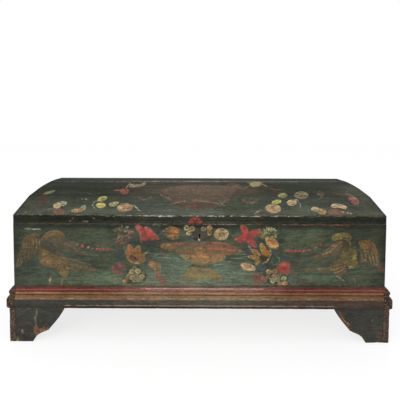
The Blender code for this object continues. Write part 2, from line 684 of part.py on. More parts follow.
def make_lock(keyhole):
    """A plate with two guides, a sliding bolt with a notch for the key, and its leaf spring."""
    left, right = LOCK_MIDDLE - LOCK_WIDTH / 2, LOCK_MIDDLE + LOCK_WIDTH / 2
    foot = LOCK_TOP - LOCK_HEIGHT
    plate_outline = [(left + LOCK_CORNER, foot), (right - LOCK_CORNER, foot),
                     (right, foot + LOCK_CORNER), (right, LOCK_TOP), (left, LOCK_TOP),
                     (left, foot + LOCK_CORNER)]
    plate = prism("lock_plate", [plate_outline], ALONG_Y, (0, LOCK_FACE + IRON / 2, 0), IRON,
                  DARK_IRON)
    combine(plate, keyhole, "DIFFERENCE")
    rim = GUIDE_WALL + BOLT_GAP
    ring = [(LOCK_INSIDE - IRON / 2, BOLT_FOOT - rim), (BOLT_BACK + rim, BOLT_FOOT - rim),
            (BOLT_BACK + rim, BOLT_TOP + rim), (LOCK_INSIDE - IRON / 2, BOLT_TOP + rim)]
    hole = [(BOLT_FRONT - BOLT_GAP, BOLT_FOOT - BOLT_GAP), (BOLT_BACK + BOLT_GAP, BOLT_FOOT - BOLT_GAP),
            (BOLT_BACK + BOLT_GAP, BOLT_TOP + BOLT_GAP), (BOLT_FRONT - BOLT_GAP, BOLT_TOP + BOLT_GAP)]
    for name, across in (("tail_guide", TAIL_GUIDE), ("near_guide", NEAR_GUIDE), ("keeper", KEEPER)):
        combine(plate, prism(name, [ring, hole], ALONG_X, (across, 0, 0), GUIDE_WIDTH), "UNION")
    corners = [(across, LOCK_INSIDE, height) for across in (left + NAIL_INSET, right - NAIL_INSET)
               for height in (foot + LOCK_CORNER + NAIL_RADIUS, LOCK_TOP - NAIL_INSET)]
    combine(plate, nail_heads("lock_nails", corners, 1), "UNION")

    talon_left, talon_right = TALON - TALON_WIDTH / 2, TALON + TALON_WIDTH / 2
    talon_foot = BOLT_FOOT - TALON_DROP
    bolt_outline = [(BOLT_TAIL, BOLT_FOOT), (talon_left, BOLT_FOOT), (talon_left, talon_foot)]
    bolt_outline += arc((TALON, talon_foot), TALON_NOTCH, math.pi, 0, 2 * ARC_STEPS)
    bolt_outline += [(talon_right, talon_foot), (talon_right, BOLT_FOOT), (BOLT_TIP, BOLT_FOOT),
                     (BOLT_TIP, BOLT_TOP), (BOLT_TAIL, BOLT_TOP)]
    prism("lock_bolt", [bolt_outline], ALONG_Y, (0, (BOLT_FRONT + BOLT_BACK) / 2, 0), BOLT_DEPTH,
          DARK_IRON)


def make_spring():
    """A leaf spring over the bolt: a flat foot, then a bow that comes down to the bolt's top."""
    low = BOLT_TOP + CLEARANCE
    start = TAIL_GUIDE + GUIDE_WIDTH / 2 + GUIDE_GAP
    end = NEAR_GUIDE - GUIDE_WIDTH / 2 - GUIDE_GAP

    def middle_line(across):
        if across <= start + SPRING_FOOT:
            return low + SPRING_RISE
        reach = (across - start - SPRING_FOOT) / (end - start - SPRING_FOOT)
        return low + SPRING_RISE * (1 + math.cos(math.pi * reach)) / 2

    steps = 2 * CURVE_STEPS
    line = [start + (end - start) * step / steps for step in range(steps + 1)]
    upper = [(across, middle_line(across) + SPRING) for across in line]
    lower = [(across, middle_line(across)) for across in reversed(line)]
    front = LOCK_INSIDE + CLEARANCE
    prism("lock_spring", [upper + lower], ALONG_Y, (0, (front + BOLT_BACK) / 2, 0),
          BOLT_BACK - front, DARK_IRON)


def make_staple():
    """The staple that hangs from the lid's front rail, with the eye that takes the bolt."""
    head = LID_FOOT + STAPLE_PLATE_SET + STAPLE_PLATE_HEIGHT / 2
    loop = [(STAPLE_FRONT, head), (STAPLE_FRONT, STAPLE_FOOT), (STAPLE_BACK, STAPLE_FOOT),
            (STAPLE_BACK, head)]
    eye = [(EYE_FRONT, EYE_FOOT), (EYE_BACK, EYE_FOOT), (EYE_BACK, EYE_TOP), (EYE_FRONT, EYE_TOP)]
    staple = prism("lid_staple", [loop, eye], ALONG_X, (STAPLE_SET, 0, 0), STAPLE_WIDTH, DARK_IRON)
    left, right = STAPLE_SET - STAPLE_PLATE_WIDTH / 2, STAPLE_SET + STAPLE_PLATE_WIDTH / 2
    low = LID_FOOT + STAPLE_PLATE_SET
    plate = block("staple_plate", (left, STAPLE_FRONT, low),
                  (right, STAPLE_FRONT + IRON, low + STAPLE_PLATE_HEIGHT))
    spots = [(across, STAPLE_FRONT + IRON, low + STAPLE_PLATE_HEIGHT / 2)
             for across in (left + NAIL_INSET, right - NAIL_INSET)]
    combine(staple, plate, "UNION")
    combine(staple, nail_heads("staple_nails", spots, 1), "UNION")


make_base()
make_feet()
make_staves()
make_lid_frame()
for hinge_name, hinge_side in (("left", -1), ("right", 1)):
    make_hinge(hinge_name, hinge_side * HINGE_SPREAD / 2)
make_lock(make_carcass())
make_spring()
make_staple()
for piece in PARTS.objects:
    if piece.name.startswith("lid_") or piece.name.endswith("_lid_strap"):
        seat_on_axis(piece)
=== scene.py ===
"""Looks of the cassapanca: a low painted chest with an arched lid, worn, grimed and varnished.

Metres, +Z up, and the front faces -Y. The frame holds the carcass, lid, base, feet and ironwork.
Here are the painted front, the staves, mouldings and feet with their worn surfaces, the finish
of every piece, and the floor, lamps and camera. Brush work is laid out in photograph pixels and
lands where the line of sight meets the wood; its widths are millimetres.
"""

import math

import bpy
import numpy as np
from mathutils import Matrix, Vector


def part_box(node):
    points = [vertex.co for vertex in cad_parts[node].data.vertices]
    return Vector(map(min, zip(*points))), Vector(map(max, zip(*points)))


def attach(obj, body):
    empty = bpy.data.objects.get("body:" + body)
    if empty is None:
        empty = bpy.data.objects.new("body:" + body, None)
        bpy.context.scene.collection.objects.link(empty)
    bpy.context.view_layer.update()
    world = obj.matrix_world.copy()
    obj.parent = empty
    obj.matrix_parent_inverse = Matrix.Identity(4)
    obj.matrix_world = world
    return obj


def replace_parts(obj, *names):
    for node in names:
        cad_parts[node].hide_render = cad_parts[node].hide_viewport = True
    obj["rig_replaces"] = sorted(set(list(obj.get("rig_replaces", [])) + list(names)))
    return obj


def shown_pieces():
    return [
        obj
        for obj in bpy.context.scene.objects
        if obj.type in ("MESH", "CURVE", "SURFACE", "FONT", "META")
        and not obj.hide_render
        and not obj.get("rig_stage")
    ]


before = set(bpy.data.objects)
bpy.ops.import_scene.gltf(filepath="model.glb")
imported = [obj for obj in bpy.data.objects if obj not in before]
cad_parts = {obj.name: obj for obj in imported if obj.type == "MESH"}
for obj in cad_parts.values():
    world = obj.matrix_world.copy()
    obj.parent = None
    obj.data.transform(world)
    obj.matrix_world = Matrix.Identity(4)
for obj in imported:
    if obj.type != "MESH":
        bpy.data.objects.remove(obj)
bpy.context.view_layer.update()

# Camera, as the photograph was taken: metres, degrees, and photograph pixels
CAMERA_PLACE = np.array((-0.0095, -1.594, 0.9025))
CAMERA_YAW, CAMERA_PITCH, CAMERA_ROLL = 0.079, 2.62, 0.20
FOCAL = 351.5
AXIS = (197.0, 118.6)
PHOTO = 400
SENSOR = 36.0

# Places in the frame
MM = 0.001
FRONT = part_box("front_board")[0].y
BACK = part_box("back_board")[1].y
HALF_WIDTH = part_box("front_board")[1].x
BODY_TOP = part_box("front_board")[1].z
BASE_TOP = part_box("front_base_moulding")[1].z
MOULDING_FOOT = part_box("front_base_moulding")[0].z
RAIL_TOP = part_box("front_base_rail")[1].z
RAIL_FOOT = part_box("front_base_rail")[0].z
BASE_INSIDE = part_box("front_base_rail")[1].x
LID_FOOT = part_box("lid_front_rail")[0].z
LID_TOP_EDGE = LID_FOOT + 0.032

# Grids, film and wear
BRUSH_GRID = 2.0 * MM
PLAIN_GRID = 6.0 * MM
FILM = 0.25 * MM
FILM_GAP = 0.2 * MM
FILM_MARGIN = 0.4 * MM
# On a painted face, in millimetres: a gap where nothing is painted, and how far a stroke's gap is kept
FAR = 40.0
SPILL = 9.0
PETAL_SWELL = 0.25
EASE = 1.2 * MM
RUB_REACH = 4.0 * MM
SOLE_EASE = 0.8 * MM
FOOT_WEAR, FRONT_FOOT_WEAR = 0.9 * MM, 1.5 * MM
FORMS, DETAILS, LIGHTS = range(3)
LAYER_NAMES = ("forms", "details", "lights")

# Keyhole, staves and feet, as the frame has them
KEYHOLE_Z, KEYHOLE_RADIUS = 0.405, 0.0045
KEYHOLE_SLOT, KEYHOLE_DROP = 0.0044, 0.014
STAVE = 0.018
STAVE_BREAKS = ((0.43, 0.769), (0.737, 0.952))
FOOT_CURVE = 0.116
FOOT_NICK = (0.483, 0.354)
FOOT_LOBE = ((0.035, 0.785), (0.328, 0.538))
FOOT_COVE = ((0.638, 0.277), (0.879, 0.262))
FOOT_LONG_STEPS, FOOT_SHORT_STEPS = 76, 8
# Reach of each point beyond the front, and its share of the height
MOULDING = ((0.0112, 0.0), (0.01344, 0.22), (0.014, 0.38), (0.01372, 0.48), (0.01232, 0.56),
            (0.00588, 0.86), (0.0, 1.0))
# Reach of each point beyond the front, and its drop under the rail's top
RAIL = ((0.0112, 0.0), (0.01384, 0.00196), (0.01666, 0.00588), (0.01877, 0.01036), (0.020, 0.014),
        (0.020, 0.040), (0.01966, 0.0426), (0.01866, 0.045), (0.01707, 0.04707), (0.015, 0.050))

# Bands of the base from below: the height where each begins, and its pigment; the highest, a dark line where
# the moulding meets the front, is partly painted shade in that crease and partly dirt
BANDS = ((0.1392, (60, 58, 52)), (0.148, (60, 63, 58)), (0.1655, (114, 91, 65)), (0.1765, (118, 86, 54)),
         (0.1838, (148, 110, 72)), (0.1862, (142, 104, 74)), (0.1922, (94, 48, 44)),
         (0.1972, (104, 51, 47)), (0.2042, (84, 46, 43)), (0.2056, (74, 60, 50)))
BAND_BLUR = 0.0007
# Pale dust in the middle, thicker towards the top, and brown varnish towards the right
PALE_DUST, DUST_LOW, DUST_HIGH = (190, 175, 150), 0.07, 0.15
BROWN_VARNISH, BROWNED = (92, 60, 46), 0.30
# Pale lines: height, half width, tone, how much stays towards the ends, and where it breaks off. They are
# worn paint; the ones on the moulding's slope and on the rail's arris are also painted highlight
WORN_AND_HIGHLIGHT_LINES = ((0.2030, 0.0021, (190, 158, 148), 0.55, 0.78),
              (0.1996, 0.0009, (162, 100, 92), 0.85, 0.34),
              (0.1888, 0.0017, (186, 160, 132), 0.85, 0.60),
              (0.1698, 0.0021, (176, 158, 122), 0.95, 0.50),
              (0.1440, 0.0030, (146, 126, 108), 0.85, 0.42))

# Light
SKY = 0.80
FLOOR_TONE, FLOOR_SHADE, FLOOR_GLOW = 0.85, 0.27, 0.77
LAMPS = (("lamp front left", (-2.2, -3.4, 2.6), (0, 0, 0.3), 2.5, 60.0),
         ("lamp overhead", (0.6, -0.8, 3.4), (0, 0, 0.2), 2.5, 14.0))

# Pigments under old varnish, as red, green and blue out of 255
OCHRE = (168, 126, 66)
UMBER = (58, 46, 38)
GREEN_GROUND = (66, 74, 59)
DARK_GROUND = (34, 38, 30)
END_GROUND = (50, 58, 47)
LID_GROUND = (45, 51, 41)
RAIL_GROUND = (44, 48, 39)
FOOT_GROUND = (62, 62, 57)
CHIP_TONE = (150, 138, 110)
CRACK_TONE, CRACK_STRENGTH = (26, 24, 20), 0.55


def linear(colour):
    """A colour out of 255, as seen, turned into the linear values that a shader takes."""
    shares = np.asarray(colour, float) / 255
    return np.where(shares <= 0.04045, shares / 12.92, ((shares + 0.055) / 1.055) ** 2.4)


def rgba(colour):
    return (*linear(colour), 1.0)


# Camera

def camera_axes():
    """Right, up and forward of the camera: yaw about Z, then pitch down, then roll about the view."""
    yaw, pitch, roll = (math.radians(turn) for turn in (CAMERA_YAW, CAMERA_PITCH, CAMERA_ROLL))
    right = np.array((math.cos(yaw), math.sin(yaw), 0))
    forward = np.array((-math.sin(yaw) * math.cos(pitch), math.cos(yaw) * math.cos(pitch),
                        -math.sin(pitch)))
    up = np.cross(right, forward)
    return (math.cos(roll) * right + math.sin(roll) * up,
            math.cos(roll) * up - math.sin(roll) * right, forward)


RIGHT, UP, FORWARD = camera_axes()


def new_object(name, data):
    made = bpy.data.objects.new(name, data)
    bpy.context.scene.collection.objects.link(made)
    return made


def stand(thing, right, up, back, place):
    """Put a camera or a lamp at its place, turned so that its own axes are these."""
    turn = np.eye(4)
    turn[:3, 0], turn[:3, 1], turn[:3, 2], turn[:3, 3] = right, up, back, place
    thing.matrix_world = Matrix(turn)


def make_camera():
    """The camera: its shift brings the middle of the view to the photograph's own axis."""
    data = bpy.data.cameras.new("camera")
    data.sensor_width = SENSOR
    data.lens = SENSOR * FOCAL / PHOTO
    data.shift_x = 0.5 - AXIS[0] / PHOTO
    data.shift_y = AXIS[1] / PHOTO - 0.5
    camera = new_object("camera", data)
    stand(camera, RIGHT, UP, -FORWARD, CAMERA_PLACE)
    bpy.context.scene.camera = camera
    bpy.context.scene.view_settings.view_transform = "Standard"


# Painted faces and brush work

class Face:
    """A flat face to paint on, measured in millimetres across from the middle and up from its foot.

    Each layer of paint keeps, at every point of the face, the distance to the nearest painted edge,
    below zero inside it, and the colour there. The ground has a colour of its own."""

    def __init__(self, across, up, foot, head, ground):
        rise = np.subtract(head, foot)
        self.rise = np.array((0, *(rise / np.linalg.norm(rise))))
        self.foot = np.array((0, *foot))
        self.x, self.y = across / MM, up / MM
        self.ground = np.ones(self.x.shape + (3,)) * linear(ground)
        self.gap = np.full((3,) + self.x.shape, FAR)
        self.colour = np.ones((3,) + self.x.shape + (3,)) * linear(ground)

    def places(self, pixels):
        """Where lines of sight through photograph pixels meet the plane of the face."""
        seen = np.atleast_2d(np.asarray(pixels, float))
        rays = (FORWARD + (seen[:, :1] - AXIS[0]) / FOCAL * RIGHT
                - (seen[:, 1:] - AXIS[1]) / FOCAL * UP)
        normal = np.cross((1, 0, 0), self.rise)
        reach = ((self.foot - CAMERA_PLACE) @ normal) / (rays @ normal)
        hits = CAMERA_PLACE + reach[:, None] * rays - self.foot
        return np.stack((hits[:, 0], hits @ self.rise), 1) / MM

    def put(self, layer, near, gap, colour):
        """Lay a form on a layer: its gap joins what is there, and its colour wins where it is nearer."""
        held = self.gap[layer][near]
        wins = (gap < 0) | (gap < held)
        kept = self.colour[layer][near]
        kept[wins] = np.broadcast_to(colour, kept.shape)[wins]
        self.colour[layer][near] = kept
        self.gap[layer][near] = np.minimum(gap, held)

    def near(self, spots, margin):
        """The points of the face within a margin of some spots' box."""
        low, high = spots.min(0) - margin, spots.max(0) + margin
        return ((self.x > low[0]) & (self.x < high[0]) & (self.y > low[1]) & (self.y < high[1]))


def dab(face, layer, spot, length, width, turn=0, colour=UMBER, tip=None, swell=0):
    """A brush dab. With p and q the place in half lengths and half widths, its gap is r - 1 over the
    slope of r, where r is the length of (p, q). It widens towards its tip and may fade to a colour."""
    half_long, half_wide = length / 2, width / 2
    near = face.near(spot[None], max(half_long, half_wide) + SPILL)
    if not near.any():
        return
    dx, dy = face.x[near] - spot[0], face.y[near] - spot[1]
    cos, sin = math.cos(math.radians(turn)), math.sin(math.radians(turn))
    p = (dx * cos + dy * sin) / half_long
    wide = half_wide * (1 + swell * np.clip(p, -1, 1))
    q = (dy * cos - dx * sin) / wide
    r = np.hypot(p, q) + 1e-6
    gap = (r - 1) * r / (np.hypot(p / half_long, q / wide) + 1e-6)
    fade = np.clip(p / 2 + 0.5, 0, 1)[:, None]
    start, end = linear(colour), linear(tip or colour)
    face.put(layer, near, gap, start + fade * (end - start))


def smooth(spots, closed=False, steps=12):
    """A curve through every spot: between two of them, the cubic whose slopes at each end are half
    the way between the neighbours."""
    spots = np.asarray(spots, float)
    if closed:
        padded = np.concatenate((spots[-1:], spots, spots[:2]))
    else:
        padded = np.concatenate((2 * spots[:1] - spots[1:2], spots, 2 * spots[-1:] - spots[-2:-1]))
    a, b, c, d = (padded[i:len(padded) - 3 + i][:, None] for i in range(4))
    t = np.linspace(0, 1, steps, endpoint=False)[None, :, None]
    curve = 0.5 * (2 * b + (c - a) * t + (2 * a - 5 * b + 4 * c - d) * t ** 2
                   + (3 * b - a - 3 * c + d) * t ** 3).reshape(-1, 2)
    return curve if closed else np.concatenate((curve, spots[-1:]))


def line(face, layer, spots, width, colour, tip=None, blunt=False):
    """A brush line along a smooth curve, drawn out thin at its ends unless it is blunt. Its gap is
    the least distance to the curve's points, less the half width there."""
    curve = smooth(spots, steps=16)
    near = face.near(curve, width / 2 + SPILL)
    if not near.any():
        return
    t = np.linspace(0, 1, len(curve))
    half = width / 2 * (np.ones_like(t) if blunt else np.clip(4 * t * (1 - t), 0.08, 1) ** 0.35)
    x, y = face.x[near][:, None], face.y[near][:, None]
    gaps = np.hypot(x - curve[:, 0], y - curve[:, 1]) - half
    nearest = gaps.argmin(1)
    start, end = linear(colour), linear(tip or colour)
    shade = start + t[nearest][:, None] * (end - start)
    face.put(layer, near, gaps[np.arange(len(gaps)), nearest], shade)


def shape(face, layer, spots, colour, tip=None):
    """A filled form within a smooth closed curve. Its gap is the distance to the curve's sides, and
    below zero where a line to the right crosses the curve an odd number of times. It may fade
    from its lowest point to its highest."""
    curve = smooth(spots, closed=True, steps=7)
    near = face.near(curve, SPILL)
    if not near.any():
        return
    x, y = face.x[near][:, None], face.y[near][:, None]
    ax, ay = curve[:, 0], curve[:, 1]
    bx, by = np.roll(ax, -1), np.roll(ay, -1)
    share = ((x - ax) * (bx - ax) + (y - ay) * (by - ay)) / ((bx - ax) ** 2 + (by - ay) ** 2 + 1e-9)
    share = np.clip(share, 0, 1)
    gap = np.hypot(x - ax - share * (bx - ax), y - ay - share * (by - ay)).min(1)
    crosses = ((ay > y) != (by > y)) & (x < ax + (y - ay) * (bx - ax) / (by - ay + 1e-9))
    gap = np.where(crosses.sum(1) % 2 == 1, -gap, gap)
    fade = ((y[:, 0] - ay.min()) / (ay.max() - ay.min())).clip(0, 1)[:, None]
    start, end = linear(colour), linear(tip or colour)
    face.put(layer, near, gap, start + fade * (end - start))


def petals(face, layer, spot, count, reach, length, width, colour, tip=None, turn=0):
    """Dabs set round a spot like petals, each pointing outwards, its middle at the reach."""
    for number in range(count):
        angle = turn + 360 * number / count
        way = np.array((math.cos(math.radians(angle)), math.sin(math.radians(angle))))
        dab(face, layer, spot + reach * way, length, width, angle, colour, tip, PETAL_SWELL)


def wash(face, spot, reach, colour, strength):
    """A soft thin patch on the ground: strength times exp of minus the squared distance in reaches."""
    along, up = reach
    share = strength * np.exp(-((face.x - spot[0]) / along) ** 2 - ((face.y - spot[1]) / up) ** 2)
    face.ground += share[..., None] * (linear(colour) - face.ground)


# Motifs of the front, in photograph pixels

# Brush work in three layers: forms, details and lights. Each row has a size (none for a filled form,
# one width for a line, or a dab's length, width and turn, in millimetres), its colour, perhaps a tip
# colour, and the places of one stroke or more; a colour has three numbers, and places an even count
LEFT_BIRD = ((
    (None, (80, 68, 52), (92, 78, 56), (40, 236, 34, 234, 28, 236, 22, 242, 20, 250, 16.5, 260, 16, 266.5,
        20, 265.5, 24, 260, 31, 258.5, 36, 252, 39, 247)),
    (12, (104, 72, 48), (98, 78, 56), (23, 242.5, 27, 238, 31, 236, 36, 235.4, 39.5, 236.6)),
    (4, (116, 96, 76), (104, 90, 70), (23.5, 240, 27, 236.6, 31, 234.6, 35.6, 234, 39, 234.8)),
    (None, (102, 80, 54), (108, 92, 62), (41.4, 240, 44.5, 235.3, 50, 231.8, 56, 230.8, 62, 232.2,
        64.6, 235, 64, 237.6, 58, 237.4, 52, 236.6, 48.4, 237.8, 46.6, 240.4)),
    (None, (80, 71, 56), (88, 78, 62), (48, 238, 64, 238.2, 66, 243, 64, 249, 55, 249, 50, 244)),
    (None, (68, 58, 50), (76, 68, 58), (42.4, 241, 47, 240.4, 51, 242, 53.4, 245, 56.4, 249.6, 52, 252,
        46, 248, 42, 245)),
    (None, (96, 78, 64), (88, 72, 58), (64, 240.4, 70, 242, 77, 246.8, 86.6, 254.6, 79, 253.4, 70, 249.6,
        65, 249)),
    (None, (84, 80, 62), (80, 76, 60), (58, 256, 70, 257.6, 84, 262.6, 97, 269.4, 92, 272, 76, 271.4,
        64, 269)),
    (None, (118, 92, 62), (100, 80, 56), (38.8, 246, 44, 248.6, 50, 251.6, 57, 255.6, 64, 257.4, 68, 261,
        67, 267, 60, 268.6, 52, 267.6, 45, 266, 40.4, 262.4, 38.8, 256, 38.4, 250)),
    (None, (124, 108, 70), (112, 94, 62), (57.4, 267, 66, 267, 68.6, 272, 65.6, 277.2, 61, 275, 58, 271)),
), (
    (7, (112, 98, 64), (96, 82, 60), (33, 239, 32, 247, 31.5, 256)),
    (6, (122, 106, 70), (108, 90, 62), (36, 238, 36.8, 246, 34.4, 254)),
    (5, (96, 76, 56), (104, 90, 70), (30, 241, 29, 248, 28.5, 258)),
    (6, (108, 96, 72), (98, 86, 66), (27, 242, 25.5, 250, 24.5, 259.5)),
    (6, (112, 98, 76), (104, 90, 70), (24.4, 244, 22.4, 252, 20.4, 262)),
    (5, (98, 84, 62), (104, 96, 78), (21.4, 250, 19, 258, 17, 266)),
    (3, (56, 47, 38), (62, 54, 44), (28.6, 243, 27.4, 250, 26.4, 258), (23.2, 247, 21.2, 255, 18.6, 263),
        (34.6, 241, 34.4, 248, 33, 255)),
    (4, (132, 122, 98), (112, 102, 82), (16.4, 266.4, 19.5, 265.2, 23, 261)),
    (6, (132, 98, 54), (122, 88, 54), (48.6, 235, 52, 233.8, 58, 233, 63.6, 234.4)),
    (3.5, (112, 100, 74), (128, 114, 80), (43, 237, 46.4, 233.4, 51, 231.2, 57, 230.8, 63, 232.6)),
    (2.5, (78, 56, 38), (84, 62, 42), (50, 237.2, 57, 236, 63.4, 236.8)),
    ((14, 11, 60), (136, 104, 58), (118, 94, 62), (46.2, 238.2)),
    (3, (98, 90, 70), (90, 80, 64), (52.6, 239.4, 58, 239.2, 63.6, 239.6)),
    (3, (94, 84, 66), (100, 88, 70), (53.6, 241.8, 59, 241.6, 64.4, 242.2)),
    (3, (96, 86, 66), (88, 76, 62), (54.4, 244.2, 60, 244.2, 64.8, 244.8)),
    (3, (92, 80, 62), (98, 84, 66), (55.4, 246.8, 60, 247, 64.6, 247.2)),
    (5, (116, 92, 76), (108, 92, 74), (64.6, 243.4, 70, 245.6, 78.4, 250.6, 87, 254.8)),
    (3, (74, 60, 52), (82, 68, 56), (65.4, 246.6, 72, 249.6, 80, 253.4)),
    (3, (88, 72, 60), (112, 100, 78), (67, 241.4, 73.6, 244.6, 81.4, 250)),
    (3, (106, 92, 74), (120, 106, 82), (72, 248, 80, 251.6, 88.4, 254.4)),
    (7, (84, 66, 48), (76, 62, 50), (38.6, 246.4, 44, 247.8, 51, 251.4, 59, 255.6)),
    (6, (118, 96, 62), (108, 90, 62), (41, 250.8, 47, 252.2, 54.4, 255.4)),
    (5, (100, 78, 54), (92, 76, 56), (40, 254.4, 47, 255.2, 55.4, 258)),
    ((40, 26, -10), (126, 98, 68), (116, 94, 66), (46.6, 261.6)),
    ((30, 16, 10), (118, 106, 70), (108, 94, 66), (46, 253.4)),
    ((32, 22, -4), (118, 98, 66), (126, 106, 72), (57.6, 262.8)),
    (4, (88, 68, 50), (98, 80, 58), (40.4, 263.6, 47, 266.8, 55, 268, 63, 268.6)),
    (6, (124, 74, 72), (104, 62, 62), (57, 252.8, 60, 252.4, 63.8, 253.4)),
    (3, (116, 108, 80), (98, 92, 70), (60, 257, 71, 259.2, 82, 262.6)),
    (3, (90, 84, 64), (104, 98, 74), (60, 259.6, 71, 262.2, 83, 266.4)),
    (3.5, (126, 114, 80), (100, 92, 70), (61, 262, 71, 264.8, 81.6, 269)),
    (3, (96, 88, 62), (108, 98, 72), (61, 264.6, 70, 267.8, 79, 271.2)),
    (5, (104, 96, 76), (112, 102, 80), (62, 258.6, 74, 260.4, 91, 264.6)),
    (5, (112, 102, 78), (100, 92, 72), (64, 263, 78, 265.2, 94, 268.4)),
    (3, (78, 70, 54), (86, 78, 60), (62, 260.8, 76, 263, 92, 266.8)),
    (6, (112, 98, 70), (122, 100, 70), (72, 265.6, 84, 268.2, 96.6, 270.8)),
    (8, (118, 92, 62), (130, 98, 66), (86, 268.8, 92, 269.6, 97.6, 270.8)),
    (5, (136, 116, 70), (118, 102, 66), (59.6, 269.4, 62.6, 274, 66, 277.4)),
    (4.5, (98, 84, 64), (110, 98, 72), (51.8, 272, 50.8, 277, 49.2, 281.6, 48.8, 286.6)),
    (3, (74, 60, 48), (66, 54, 44), (49.8, 273.4, 49, 278)),
    (3, (120, 106, 72), (104, 88, 64), (50.6, 281.6, 52, 284.2, 52.4, 286.8)),
    (3, (124, 104, 74), (108, 84, 62), (62, 282.6, 62.4, 285, 62.2, 287)),
    (4, (132, 124, 94), (112, 104, 80), (50.2, 277.6, 49.4, 281, 49.6, 286)),
    (4, (92, 62, 54), (84, 58, 52), (71, 240.2, 76, 242, 80.4, 243.6, 85, 245.6)),
    ((11, 6, -30), (112, 100, 84), (73.4, 242)), ((11, 8, -30), (122, 112, 92), (77.6, 244.4)),
), (
    ((12, 6, 70), (138, 124, 84), (33.5, 243)), ((8, 6, 20), (138, 122, 96), (26.4, 247)),
    ((16, 4, 80), (142, 134, 112), (39.4, 243)),
    (3.5, (134, 122, 92), (112, 100, 76), (41.2, 240, 43.2, 237, 45.4, 234.6)),
    ((15, 7, -8), (140, 114, 80), (48.6, 262.4)), ((12, 5), (140, 112, 74), (44, 258.4)),
    ((5, 4), (150, 140, 108), (55.4, 265)), ((13, 8, -10), (150, 132, 96), (68, 268.8)),
    ((6, 8, 60), (88, 64, 44), (64.6, 267.8)),
    ((15, 6, 62), (176, 170, 124), (140, 134, 98), (50.2, 279.8)),
    (5, (140, 134, 102), (112, 96, 72), (63.6, 278.4, 62, 281, 60.4, 284)),
    (4, (118, 78, 58), (104, 66, 52), (60.6, 283.6, 60.2, 285.4, 60, 287)),
    (2.5, (150, 112, 104), (128, 96, 88), (57, 253.6, 60, 253, 63, 254.4)),
    (3, (160, 154, 122), (132, 124, 98), (61.6, 278, 62.2, 282, 61, 286.4)),
))
